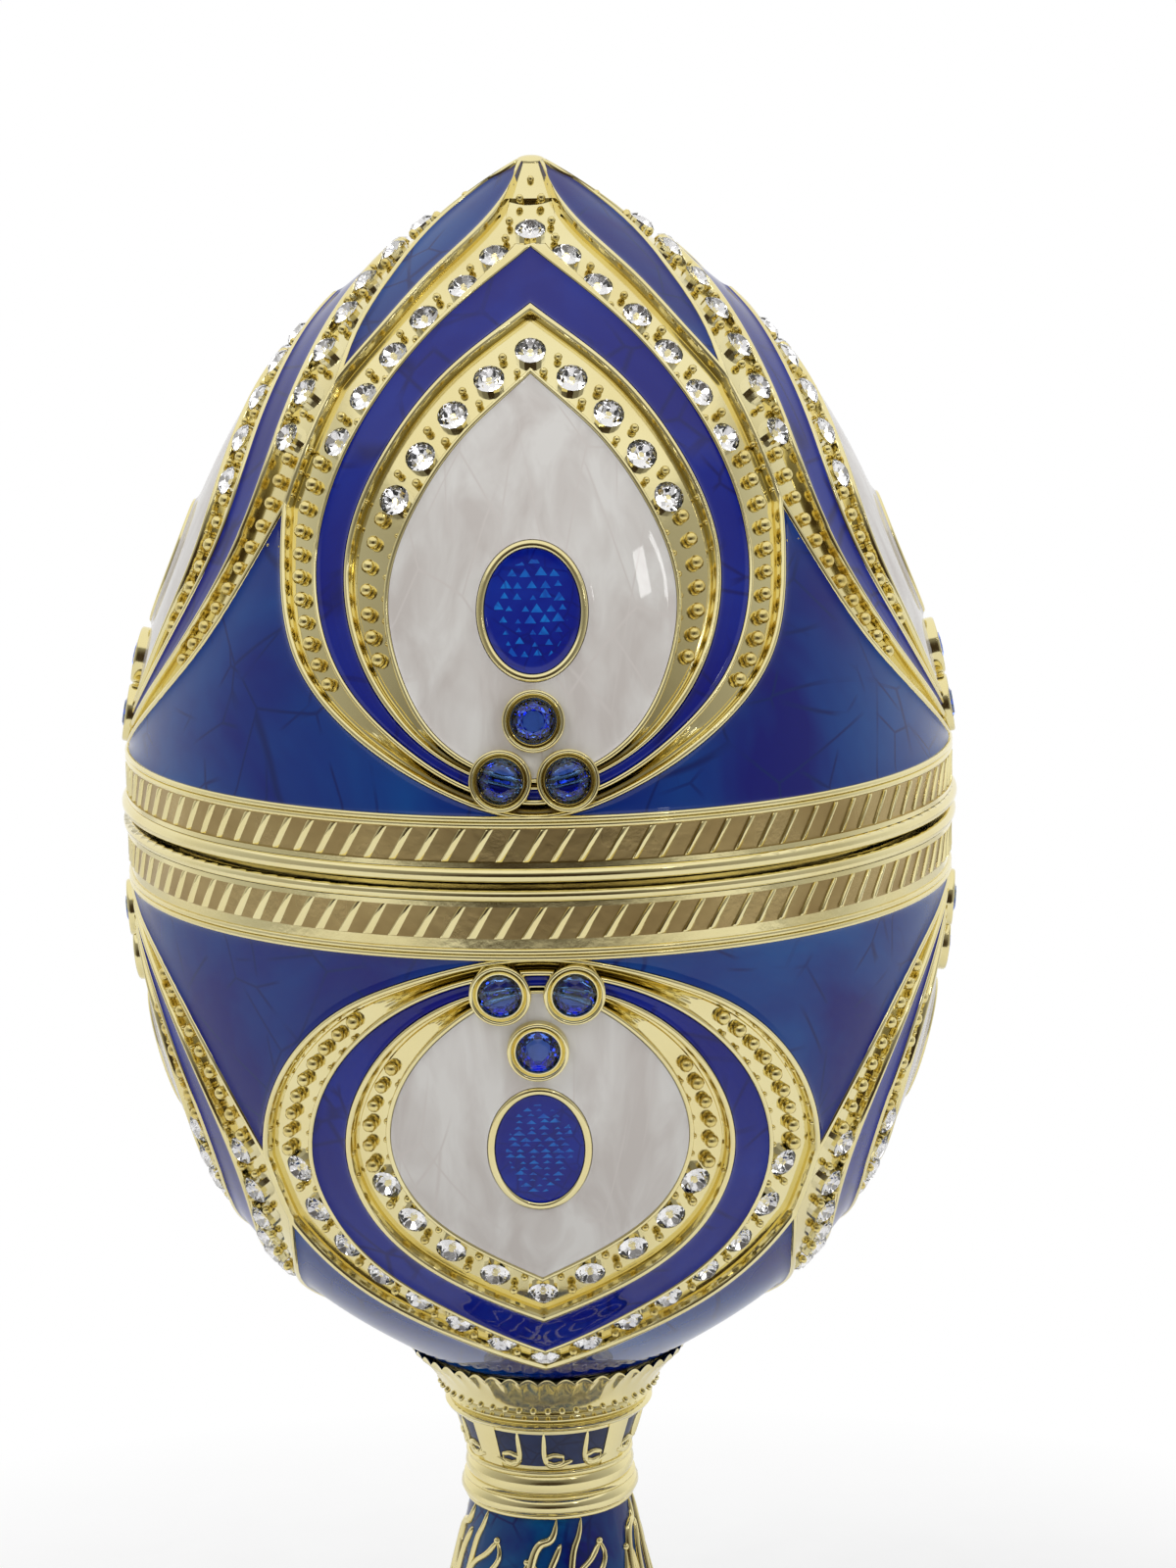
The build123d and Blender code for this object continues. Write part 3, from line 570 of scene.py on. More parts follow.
PALE_GOLD, DEEP_GOLD = (0.86, 0.77, 0.42), (0.80, 0.66, 0.28)
gold_line = metal("polished_gold", PALE_GOLD, (0.82, 0.71, 0.35), 0.07, 0.09, 700, 0.012 * MM)
gold_cast = metal("cast_gold", (0.84, 0.72, 0.32), (0.76, 0.60, 0.20), 0.16, 0.16, 1100, 0.05 * MM)
gold_plain = metal("plain_gold", PALE_GOLD, DEEP_GOLD, 0.14, 0.12, 500, 0.01 * MM)
# A darker gold for the ground between the flutes: painted shade for that recess, not a different polish.
gold_painted_recess_shade = metal("recessed_gold", (0.50, 0.38, 0.17), (0.36, 0.25, 0.10), 0.22, 0.15, 900, 0.03 * MM)
bright_steel = metal("turned_steel", (0.62, 0.62, 0.63), (0.52, 0.52, 0.54), 0.25, 0.15, 900, 0.01 * MM)
nickel = metal("nickel_plate", (0.72, 0.71, 0.68), (0.62, 0.61, 0.58), 0.12, 0.1, 500, 0.005 * MM)


def enamel(name, deep, bright, line, cloud, craze, line_width=0.05, stretch=1.0, span=(0.4, 0.66)):
    """Glossy fired enamel: clouds between two colours, crossed by craze lines."""
    material, tree, shader, effect = new_material(
        name, fired, {"Cloud": cloud, "Craze": craze, "Line": line_width, "Stretch": stretch},
        roughness=0.5, specular_ior_level=0.0, coat_weight=0.85, coat_roughness=0.03, coat_ior=1.5,
    )
    clouds = ramp_of(tree, (*span, 0, 1), effect.outputs["Cloud"])
    colour = mixed_colour(tree, clouds, deep, bright)
    colour = mixed_colour(tree, effect.outputs["Craze"], line, colour)
    tree.links.new(colour, shader.inputs["Base Color"])
    return material


ROYAL, TEAL = (0.002, 0.004, 0.14), (0.002, 0.055, 0.24)
field_blue = enamel("field_blue", ROYAL, TEAL, (0.001, 0.012, 0.11), 48, 95, 0.018)
ribbon_blue = enamel(
    "ribbon_blue", (0.002, 0.004, 0.17), (0.003, 0.016, 0.24), (0.002, 0.004, 0.12), 70, 110, 0.03
)
oval_blue = enamel(
    "oval_blue", (0.002, 0.006, 0.20), (0.003, 0.02, 0.27), (0.002, 0.006, 0.16), 200, 400, 0.05
)
stand_blue = enamel(
    "stand_blue", (0.003, 0.006, 0.11), (0.003, 0.075, 0.20), (0.002, 0.008, 0.08), 130, 200, 0.04
)
neck_blue = enamel("neck_blue", (0.006, 0.012, 0.05), (0.010, 0.025, 0.10), (0.004, 0.008, 0.04), 160, 350)
pearl = enamel(
    "pearl_white", (0.53, 0.49, 0.46), (0.66, 0.64, 0.61), (0.58, 0.54, 0.51), 330, 120,
    line_width=0.012, stretch=0.22, span=(0.36, 0.64),
)


def fibre_cloth(name, colour, pile, fibre, height):
    material, tree, shader, effect = new_material(
        name, fibres, {"Fibre": fibre}, roughness=0.95, sheen_weight=0.6, sheen_roughness=0.4
    )
    tone = ramp_of(tree, (0.3, 0.7, 0, 1), effect.outputs["Tone"])
    tree.links.new(mixed_colour(tree, tone, colour, pile), shader.inputs["Base Color"])
    raised(tree, shader, effect.outputs["Height"], height)
    return material


flock = fibre_cloth("blue_flock", (0.006, 0.009, 0.05), (0.02, 0.03, 0.13), 2600, 0.12 * MM)
felt = fibre_cloth("blue_felt", (0.008, 0.01, 0.03), (0.03, 0.035, 0.09), 1500, 0.2 * MM)


def cut_glass(name, colour, tint):
    """Faceted glass: plain transmission, with a faint unevenness in its tone."""
    material, tree, shader, effect = new_material(
        name, polish, {"Cloud": 500.0}, transmission_weight=1.0, roughness=0.0, ior=1.58
    )
    tree.links.new(mixed_colour(tree, effect.outputs["Tone"], colour, tint), shader.inputs["Base Color"])
    return material


clear_glass = cut_glass("clear_stone", (0.96, 0.95, 0.94), (0.88, 0.87, 0.87))
blue_glass = cut_glass("blue_stone", (0.06, 0.17, 0.92), (0.10, 0.26, 0.98))

# %% Finishes of the solids that stay in view
finish_of = {
    "lid_shell": gold_plain, "body_shell": gold_plain, "lid_rim_band": gold_line, "body_rim_band": gold_line,
    "hinge_upper_leaf": gold_plain, "hinge_lower_leaf": gold_plain, "hinge_pin": gold_plain,
    "lid_magnet": nickel, "body_magnet": nickel, "body_lining": flock, "lotus_cup": gold_line,
    "stem_neck": gold_line, "stem_collar": gold_line, "foot_shell": gold_line, "foot_rim_band": gold_line,
    "foot_enamel": stand_blue, "neck_enamel": neck_blue, "base_plate": bright_steel, "felt_pad": felt,
    "tie_screw": bright_steel, "tie_washer": bright_steel, "tie_nut": bright_steel,
}
for half in ("lid", "body"):
    finish_of[f"{half}_gold_bands"] = gold_line
    finish_of[f"{half}_oval_frames"] = gold_line
    finish_of[f"{half}_stone_collars"] = gold_line
    finish_of[f"{half}_field_enamel"] = field_blue
    finish_of[f"{half}_ribbon_enamel"] = ribbon_blue
    finish_of[f"{half}_white_enamel"] = pearl
    finish_of[f"{half}_oval_enamel"] = oval_blue
    finish_of[f"{half}_clear_stones"] = clear_glass
    finish_of[f"{half}_blue_stones"] = blue_glass
for node, material in finish_of.items():
    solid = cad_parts[node]
    solid.data.materials.clear()
    solid.data.materials.append(material)
print(len(finish_of), "solids have a finish")

# %% [markdown]
# ## Gold bands
#
# Each motif has two gold bands, and each band is a shallow channel between two raised lines. On the
# real egg they are cast in one with the shell. Here a band is one strip: its section climbs from the
# enamel, runs over the round line, drops into the channel and climbs out again. A dark groove follows
# the outer line. Where the band gets narrow near its foot, the whole section shrinks with it, and two
# smooth ribs rise from the floor, as on the real one.

# %% Gold bands
STATIONS = 170


def in_metres(profile):
    return [(distance * MM, depth * MM) for distance, depth in profile]


OUTER_LINE = in_metres((
    (0, 0.62), (0.02, 0.30), (0.06, 0.13), (0.14, 0.04), (0.24, 0.0), (0.36, 0.0), (0.46, 0.04), (0.54, 0.13),
    (0.60, 0.36), (0.64, 1.0), (0.80, 1.02), (0.92, 0.85),
))
INNER_LINE = in_metres((
    (0, 0.62), (0.02, 0.28), (0.05, 0.12), (0.11, 0.04), (0.19, 0.0), (0.28, 0.0), (0.36, 0.04), (0.42, 0.13),
    (0.47, 0.35), (0.51, 0.85),
))
BANDS = {"outer": "ribbon", "inner": "white"}
RIB_HEIGHT = 0.42 * MM
RIBS_FROM, RIBS_FULL = 0.78, 0.86


def ribbed_floor(across):
    """The channel's floor at a share of its width: flat above, two smooth ribs near the motif's foot."""
    half = np.clip((np.linspace(0, 1, STATIONS) - RIBS_FROM) / (RIBS_FULL - RIBS_FROM), 0, 1)
    along = np.concatenate([half, half[-2:0:-1]])
    rib = 0.5 - 0.5 * math.cos(4 * math.pi * across)
    return CHANNEL_DEPTH - RIB_HEIGHT * rib * along


def band_mesh(shell, name):
    outer, inner = shell.loop(name, STATIONS), shell.loop(BANDS[name], STATIONS)
    grid = strip(shell, outer, inner, OUTER_LINE, ribbed_floor, 11, far_profile=INNER_LINE)
    return clipped(*wrapped_grid(grid))


def joined(meshes):
    """Several lists of points and faces as one."""
    every_point, every_face, count = [], [], 0
    for points, faces in meshes:
        every_point.append(np.asarray(points))
        every_face += [[index + count for index in face] for face in faces]
        count += len(points)
    return np.concatenate(every_point), every_face


def all_sides(points, faces):
    """A motif's mesh with faces of any size, repeated at every side of the egg."""
    return joined([(rotated(points, k * 2 * QUARTER), faces) for k in range(MOTIFS)])


TIP_LEVEL = lid_shell.levels[-1] - 0.95 * MM


def below_the_dome(points, faces):
    """The same mesh, level where the dome at the tip of the egg covers it."""
    points = np.array(points)
    points[:, 2] = np.minimum(points[:, 2], TIP_LEVEL)
    return points, faces


for shell in shells:
    motif = joined([band_mesh(shell, name) for name in BANDS])
    finished(
        f"{shell.name}_bands", *below_the_dome(*all_sides(*motif)), ride_on[shell.name], gold_line, 50,
        replaces=[f"{shell.name}_gold_bands"], slot="gold_band",
    )

# %% [markdown]
# ## Enamel
#
# Enamel is poured glass: it fills a cell up to its walls and creeps a little way up them. That narrow
# climb at the edge catches the light and makes the enamel look wet, so every enamel gets it. The
# depth falls off from the wall by a simple rule, and the middle is smooth.

# %% The surface of poured enamel
CREEP_HEIGHT = 0.19 * MM
CREEP_REACH = 0.26 * MM
CREEP_STEPS = np.array((0, 0.07, 0.16, 0.28, 0.45, 0.7, 1.1)) * MM


def poured_depth(distance):
    """Depth of the enamel under the crest, at a distance from the nearest wall."""
    return ENAMEL_DEPTH - CREEP_HEIGHT * np.exp(-np.asarray(distance) / CREEP_REACH)


CREEP_SECTION = [(distance, float(poured_depth(distance))) for distance in CREEP_STEPS]


def oval_loop(shell, centre_share, half_width, half_height, count):
    """Angles and levels round an oval, from its end near the tip down the right side."""
    turn = np.linspace(0, 2 * math.pi, 2 * count - 1)[:-1]
    level = shell.level(centre_share) + shell.up * half_height * np.cos(turn)
    angle = np.arcsin(half_width * np.sin(turn) / shell.radius(level))
    return angle, level


OVALS = {LID: (0.31, 4.4 * MM, 5.3 * MM), "body": (0.339, 4.2 * MM, 5.5 * MM)}
OVAL_LINE = 0.68 * MM
OVAL_SECTION = [
    (distance * MM, depth * MM)
    for distance, depth in ((0, 0.62), (0.03, 0.22), (0.1, 0.06), (0.22, -0.03), (0.38, -0.05))
]


def oval_of(shell, inset):
    centre, half_width, half_height = OVALS[shell.name]
    return oval_loop(shell, centre, half_width - inset, half_height - inset, STATIONS)


def poured_strip(shell, outer, inner, rows):
    grid = strip(shell, outer, inner, CREEP_SECTION, ENAMEL_DEPTH, rows, CHANNEL_DEPTH)
    return wrapped_grid(grid)


for shell in shells:
    body = ride_on[shell.name]
    ribbon = poured_strip(shell, shell.loop("ribbon", STATIONS), shell.loop("inner", STATIONS), 5)
    finished(
        f"{shell.name}_ribbons", *four_times(*ribbon), body, ribbon_blue, 60,
        replaces=[f"{shell.name}_ribbon_enamel"], slot="ribbon_enamel",
    )
    white = poured_strip(shell, shell.loop("white", STATIONS), oval_of(shell, 0), 16)
    finished(
        f"{shell.name}_pearl_fields", *four_times(*white), body, pearl, 60,
        replaces=[f"{shell.name}_white_enamel"], slot="white_enamel",
    )
    frame_grid = strip(shell, oval_of(shell, 0), oval_of(shell, OVAL_LINE), OVAL_SECTION, -0.05 * MM, 1)
    finished(
        f"{shell.name}_oval_rings", *four_times(*wrapped_grid(frame_grid)), body, gold_line, 50,
        replaces=[f"{shell.name}_oval_frames"], slot="gold_band",
    )


# %% The ovals, filled to a pole in the middle
def capped_rings(rings, centre, under_centre):
    """A closed disc: rings of points from under the edge, over it and in to the middle."""
    rows, columns = rings.shape[:2]
    index = np.arange(rows * columns).reshape(rows, columns)
    right = np.roll(index, -1, axis=1)
    faces = np.stack([index[:-1], index[1:], right[1:], right[:-1]], axis=-1).reshape(-1, 4).tolist()
    top, low = rows * columns, rows * columns + 1
    faces += [[index[-1, c], top, right[-1, c]] for c in range(columns)]
    faces += [[index[0, c], right[0, c], low] for c in range(columns)]
    points = np.concatenate([rings.reshape(-1, 3), [centre, under_centre]])
    return points, faces


def oval_disc(shell):
    centre = shell.level(OVALS[shell.name][0])
    insets = OVAL_LINE + np.concatenate([CREEP_STEPS, np.array((1.6, 2.2, 2.8, 3.2)) * MM])
    rings = [shell.place(*oval_of(shell, OVAL_LINE), CHANNEL_DEPTH)]
    rings += [shell.place(*oval_of(shell, inset), float(poured_depth(inset - OVAL_LINE))) for inset in insets]
    middle = shell.place(np.zeros(1), np.array([centre]), ENAMEL_DEPTH)[0]
    under = shell.place(np.zeros(1), np.array([centre]), CHANNEL_DEPTH)[0]
    return capped_rings(np.array(rings), middle, under)


for shell in shells:
    finished(
        f"{shell.name}_ovals", *all_sides(*oval_disc(shell)), ride_on[shell.name], oval_blue, 60,
        replaces=[f"{shell.name}_oval_enamel"], slot="oval_enamel",
    )

# %% [markdown]
# ## The blue fields between the motifs
#
# The fields lie where no motif does: a triangle at the rim and a lens near the tip, on each of the
# four planes between motifs. Below the lower motifs the fields run together all round. A field is a
# grid from one motif's outline to its neighbour's, row by row. The creep at its edges comes from the
# distance to the nearest outline, so it follows corners and the rim by itself.

# %% Blue fields
FIELD_COLUMNS = 36
FIELD_STEP = 0.35 * MM


def outline_angle(shell, levels):
    """Angle of the outer outline: zero past the tip, the dividing plane where motifs touch."""
    angle, level = shell.half_outline("outer", 4 * STATIONS)
    order = np.argsort(level)
    found = np.interp(levels, level[order], angle[order], left=0, right=0)
    return np.minimum(found, QUARTER)


def field_rows(shell):
    """Levels of a field's rows, close together near the rim."""
    end = shell.levels[-1] if shell.up > 0 else shell.levels[0]
    inside = shell.seat + shell.up * CREEP_STEPS
    last = end - shell.up * 0.25 * MM
    count = int(abs(last - inside[-1]) / FIELD_STEP)
    return np.concatenate([inside, np.linspace(inside[-1], last, count)[1:]])


def field_mesh(shell):
    levels = field_rows(shell)
    left = outline_angle(shell, levels)
    inner = np.linspace(0.12, 0.5, FIELD_COLUMNS // 2)
    edge = np.concatenate([[0, 0.004, 0.012, 0.025, 0.045, 0.075], inner])
    shares = np.concatenate([edge, 1 - edge[-2::-1]])
    angle = left[:, None] + shares[None] * (2 * QUARTER - 2 * left)[:, None]
    level = np.repeat(levels[:, None], len(shares), axis=1)
    crest = shell.place(angle, level)
    walls = shell.place(*shell.half_outline("outer", 4 * STATIONS))
    mirrored = walls * (-1, 1, 1)
    rim = shell.place(np.linspace(0, 2 * QUARTER, 400), shell.seat)
    border = np.concatenate([walls, rotated(mirrored, 2 * QUARTER), rim])
    distance = np.array([np.linalg.norm(border - row[:, None], axis=2).min(axis=1) for row in crest])
    top = shell.place(angle, level, poured_depth(distance))
    under = shell.place(angle, level, CHANNEL_DEPTH)
    return top, under, left < QUARTER - 1e-4, left > 1e-6


def field_faces(shape, open_rows, walled_rows):
    """Faces of a field's top, underside, side walls and ends."""
    rows, columns = shape
    top = np.arange(rows * columns).reshape(rows, columns)
    low = top + rows * columns
    faces = []
    for r in range(rows - 1):
        if not (open_rows[r] or open_rows[r + 1]):
            continue
        for c in range(columns - 1):
            faces.append([top[r, c], top[r, c + 1], top[r + 1, c + 1], top[r + 1, c]])
            faces.append([low[r, c], low[r + 1, c], low[r + 1, c + 1], low[r, c + 1]])
        if walled_rows[r] or walled_rows[r + 1]:
            for c in (0, columns - 1):
                faces.append([top[r, c], top[r + 1, c], low[r + 1, c], low[r, c]])
    for r in (0, rows - 1):
        for c in range(columns - 1):
            faces.append([top[r, c], top[r, c + 1], low[r, c + 1], low[r, c]])
    return faces


for shell in shells:
    top, under, open_rows, walled_rows = field_mesh(shell)
    faces = field_faces(top.shape[:2], open_rows, walled_rows)
    points = np.concatenate([top.reshape(-1, 3), under.reshape(-1, 3)])
    finished(
        f"{shell.name}_fields", *below_the_dome(*all_sides(points, faces)), ride_on[shell.name],
        field_blue, 60, replaces=[f"{shell.name}_field_enamel"], slot="blue_enamel",
    )

# %% [markdown]
# ## Small things set on the egg
#
# Stones, grains, beads and flecks are a few small shapes repeated at hundreds of places. They could be
# copied in a loop, but Geometry Nodes say it more plainly: a cloud of points, each with the direction
# it stands in, the direction that is up for it and its size, and one tree that puts a shape at each.
# The tree ends in real geometry with a material, so the result is one plain mesh for each body.

# %% The tree that sets a shape at every place
setting = bpy.data.node_groups.new("set_at_places", "GeometryNodeTree")
setting.interface.new_socket("Geometry", in_out="INPUT", socket_type="NodeSocketGeometry")
SETTING_INPUTS = {
    "Shape": "NodeSocketObject", "Size": "NodeSocketFloat", "Unevenness": "NodeSocketFloat",
    "Seed": "NodeSocketInt", "Material": "NodeSocketMaterial",
}
setting_ids = {}
for label, kind in SETTING_INPUTS.items():
    setting_ids[label] = setting.interface.new_socket(label, in_out="INPUT", socket_type=kind).identifier
setting.interface.new_socket("Geometry", in_out="OUTPUT", socket_type="NodeSocketGeometry")
enter, leave = setting.nodes.new("NodeGroupInput"), setting.nodes.new("NodeGroupOutput")
attributes = {}
for label, kind in (("stand", "FLOAT_VECTOR"), ("upwards", "FLOAT_VECTOR"), ("size", "FLOAT")):
    attributes[label] = add_node(setting, "GeometryNodeInputNamedAttribute", {"Name": label}, data_type=kind)
points = add_node(setting, "GeometryNodeMeshToPoints")
shape = add_node(setting, "GeometryNodeObjectInfo")
stand = add_node(setting, "FunctionNodeAlignRotationToVector", axis="Z")
upright = add_node(setting, "FunctionNodeAlignRotationToVector", axis="Y", pivot_axis="Z")
spread = add_node(setting, "FunctionNodeRandomValue", data_type="FLOAT")
low_end = add_node(setting, "ShaderNodeMath", {0: 1.0}, operation="SUBTRACT")
high_end = add_node(setting, "ShaderNodeMath", {0: 1.0}, operation="ADD")
own_size = add_node(setting, "ShaderNodeMath", operation="MULTIPLY")
all_sizes = add_node(setting, "ShaderNodeMath", operation="MULTIPLY")
copies = add_node(setting, "GeometryNodeInstanceOnPoints")
real = add_node(setting, "GeometryNodeRealizeInstances")
coat = add_node(setting, "GeometryNodeSetMaterial")
for source, target in (
    (enter.outputs["Geometry"], points.inputs["Mesh"]),
    (enter.outputs["Shape"], shape.inputs["Object"]),
    (attributes["stand"].outputs["Attribute"], stand.inputs["Vector"]),
    (stand.outputs["Rotation"], upright.inputs["Rotation"]),
    (attributes["upwards"].outputs["Attribute"], upright.inputs["Vector"]),
    (enter.outputs["Unevenness"], low_end.inputs[1]),
    (enter.outputs["Unevenness"], high_end.inputs[1]),
    (low_end.outputs[0], spread.inputs[2]),
    (high_end.outputs[0], spread.inputs[3]),
    (enter.outputs["Seed"], spread.inputs["Seed"]),
    (attributes["size"].outputs["Attribute"], own_size.inputs[0]),
    (spread.outputs[1], own_size.inputs[1]),
    (own_size.outputs[0], all_sizes.inputs[0]),
    (enter.outputs["Size"], all_sizes.inputs[1]),
    (points.outputs["Points"], copies.inputs["Points"]),
    (shape.outputs["Geometry"], copies.inputs["Instance"]),
    (upright.outputs["Rotation"], copies.inputs["Rotation"]),
    (all_sizes.outputs[0], copies.inputs["Scale"]),
    (copies.outputs["Instances"], real.inputs["Geometry"]),
    (real.outputs["Geometry"], coat.inputs["Geometry"]),
    (enter.outputs["Material"], coat.inputs["Material"]),
    (coat.outputs["Geometry"], leave.inputs["Geometry"]),
):
    setting.links.new(source, target)


# %% Places, and the piece made from them
def place_rows(points, stands, upwards, sizes=1.0):
    """Rows of point, stand, upwards and size, one for each place."""
    sizes = np.broadcast_to(sizes, (len(points),))[:, None]
    return np.concatenate([points, stands, upwards, sizes], axis=1)


def mirrored(rows):
    """The places and their twins on the other side of the front plane, without doubles on it."""
    twins = rows[np.abs(rows[:, 0]) > 0.01 * MM] * (-1, 1, 1, -1, 1, 1, -1, 1, 1, 1)
    return np.concatenate([rows, twins])


def at_every_side(rows):
    turned = []
    for k in range(MOTIFS):
        turn = k * 2 * QUARTER
        parts = [rotated(rows[:, i : i + 3], turn) for i in (0, 3, 6)]
        turned.append(np.concatenate([*parts, rows[:, 9:]], axis=1))
    return np.concatenate(turned)


SHORT_STEP = 0.1 * MM


def surface_rows(shell, angle, level, depth=0.0, sizes=1.0):
    """Places on a shell, standing square on it."""
    angle, level = np.broadcast_arrays(np.atleast_1d(angle), np.atleast_1d(level))
    points = shell.place(angle, level, depth)
    upwards = shell.place(angle, level + SHORT_STEP, depth) - points
    return place_rows(points, shell.normal(angle, level), upwards / SHORT_STEP, sizes)


def set_at(
    name, shape, rows, body, material, size=1.0, uneven=0.0, seed=1, smooth=40, replaces=()
):
    """One mesh with a shape at every place, made by the setting tree."""
    places = mesh_from(f"{name}_places", rows[:, :3], [])
    for label, kind, field, values in (
        ("stand", "FLOAT_VECTOR", "vector", rows[:, 3:6]),
        ("upwards", "FLOAT_VECTOR", "vector", rows[:, 6:9]),
        ("size", "FLOAT", "value", rows[:, 9]),
    ):
        attribute = places.attributes.new(label, kind, "POINT")
        attribute.data.foreach_set(field, np.ascontiguousarray(values).ravel())
    template = bpy.data.objects.new(f"{name}_shape", mesh_from(f"{name}_shape", *shape))
    holder = bpy.data.objects.new(f"{name}_holder", places)
    bpy.context.scene.collection.objects.link(holder)
    modifier = holder.modifiers.new("set", "NODES")
    modifier.node_group = setting
    values = {"Shape": template, "Size": size, "Unevenness": uneven, "Seed": seed, "Material": material}
    for label, value in values.items():
        modifier[setting_ids[label]] = value
    evaluated = holder.evaluated_get(bpy.context.evaluated_depsgraph_get())
    mesh = bpy.data.meshes.new_from_object(evaluated)
    bpy.data.objects.remove(holder)
    bpy.data.objects.remove(template)
    return finished_mesh(name, mesh, body, material, smooth, replaces)


# %% [markdown]
# ## Cut stones
#
# The stones are round brilliants with a mirrored back, as rhinestones are. The mirror matters as much
# as the glass: light enters the crown, bounces between mirrored facets and leaves as sparkle. So each
# stone is a closed piece of cut glass in a small mirrored funnel.

# %% A brilliant and its mirrored funnel
def circle_points(radius, height, count, turn=0.0):
    angle = turn + 2 * math.pi * np.arange(count) / count
    return [(radius * math.cos(a), radius * math.sin(a), height) for a in angle]


MID_SHARE, LOW_SHARE, TABLE_SHARE = 0.8, 0.55, 0.56
EIGHTH = math.pi / 8


def pavilion_points(radius, pavilion, drop=0.0):
    """Girdle, lower ring and culet of the stone's back."""
    low_height = -pavilion * (1 - LOW_SHARE * math.cos(EIGHTH))
    points = circle_points(radius, -drop, 16)
    points += circle_points(LOW_SHARE * radius, low_height - drop, 8, EIGHTH)
    return points + [(0, 0, -pavilion - drop)]


def pavilion_faces(first):
    girdle, low, culet = first, first + 16, first + 24
    faces = []
    for k in range(8):
        edge = [girdle + 2 * k, girdle + 2 * k + 1, girdle + (2 * k + 2) % 16]
        faces += [[edge[0], edge[1], low + k], [edge[1], edge[2], low + k]]
        faces.append([edge[0], low + k, culet, low + (k - 1) % 8])
    return faces


def brilliant(radius, crown, pavilion):
    mid_height = crown * (1 - MID_SHARE * math.cos(EIGHTH)) / (1 - TABLE_SHARE)
    points = circle_points(TABLE_SHARE * radius, crown, 8)
    points += circle_points(MID_SHARE * radius, mid_height, 8, EIGHTH)
    points += pavilion_points(radius, pavilion)
    faces = [list(range(8))] + pavilion_faces(16)
    for k in range(8):
        edge = [16 + 2 * k, 16 + 2 * k + 1, 16 + (2 * k + 2) % 16]
        faces += [[k, (k + 1) % 8, 8 + k], [8 + k, edge[0], edge[1]], [8 + k, edge[1], edge[2]]]
        faces.append([k, 8 + (k - 1) % 8, edge[0], 8 + k])
    return points, faces


def funnel(radius, pavilion):
    """The mirrored seat under a stone: faceted inside, round outside."""
    points = pavilion_points(radius, pavilion, 0.015 * MM)
    base = len(points)
    points += circle_points(radius, -pavilion - 0.05 * MM, 16)
    faces = pavilion_faces(0) + [list(range(base, base + 16))]
    faces += [[k, (k + 1) % 16, base + (k + 1) % 16, base + k] for k in range(16)]
    return points, faces


CLEAR_RADIUS, CLEAR_CROWN, CLEAR_PAVILION, CLEAR_GIRDLE = 1.25 * MM, 0.42 * MM, 0.68 * MM, 0.28 * MM
BLUE_RADIUS, BLUE_CROWN, BLUE_PAVILION, BLUE_GIRDLE = 1.68 * MM, 0.52 * MM, 0.85 * MM, -0.10 * MM
foil = metal("mirror_foil", (0.94, 0.94, 0.95), (0.82, 0.83, 0.86), 0.03, 0.05, 500, 0.002 * MM)


def shared_rows(shell, places, depth):
    side, height = np.array(places, float).T
    return at_every_side(mirrored(surface_rows(shell, *shell.spot(side, height), depth)))


for shell in shells:
    body = ride_on[shell.name]
    clear = CLEAR_PLACES[shell.name, "inner"] + CLEAR_PLACES[shell.name, "outer"]
    rows = shared_rows(shell, clear, CLEAR_GIRDLE)
    stone = brilliant(CLEAR_RADIUS, CLEAR_CROWN, CLEAR_PAVILION)
    set_at(
        f"{shell.name}_clear_cut_stones", stone, rows, body, clear_glass, smooth=1,
        replaces=[f"{shell.name}_clear_stones"],
    )
    set_at(
        f"{shell.name}_clear_foils", funnel(CLEAR_RADIUS, CLEAR_PAVILION), rows, body, foil, smooth=1,
    )
    rows = shared_rows(shell, BLUE_PLACES[shell.name], BLUE_GIRDLE)
    set_at(
        f"{shell.name}_blue_cut_stones", brilliant(BLUE_RADIUS, BLUE_CROWN, BLUE_PAVILION), rows, body,
        blue_glass, smooth=1, replaces=[f"{shell.name}_blue_stones"],
    )
    set_at(
        f"{shell.name}_blue_foils", funnel(BLUE_RADIUS, BLUE_PAVILION), rows, body, foil, smooth=1,
    )


# %% [markdown]
# ## Settings of the blue stones
#
# A blue stone sits in a round setting: a bright outer ring, a slope that falls inwards and a fine
# ring that grips the stone. The setting is a turned shape, so its section is swept round once.

# %% Round settings
SETTING_SECTION = in_metres((
    (2.45, -1.0), (2.45, 0.18), (2.42, 0.33), (2.33, 0.42), (2.22, 0.42), (2.13, 0.34), (2.02, 0.12),
    (1.94, 0.06), (1.91, 0.18), (1.85, 0.28), (1.77, 0.28), (1.71, 0.18), (1.71, -1.0),
))
SETTING_SIDES = 44


def turned_ring(section, sides):
    """A closed section of radius and height, swept round the axis."""
    grid = np.array([circle_points(radius, height, sides) for radius, height in section])
    return wrapped_grid(grid)


for shell in shells:
    rows = shared_rows(shell, BLUE_PLACES[shell.name], 0.0)
    points, faces = turned_ring(SETTING_SECTION, SETTING_SIDES)
    set_at(
        f"{shell.name}_stone_settings", (points, faces.tolist()), rows, ride_on[shell.name], gold_line,
        smooth=50, replaces=[f"{shell.name}_stone_collars"],
    )


# %% [markdown]
# ## Grains and beads
#
# Between every two clear stones the setter raised two small grains that hold them. Past the last stone
# the channel is filled with a row of round beads with small lumps beside them. Both follow the band,
# so their places are worked out from its outlines.

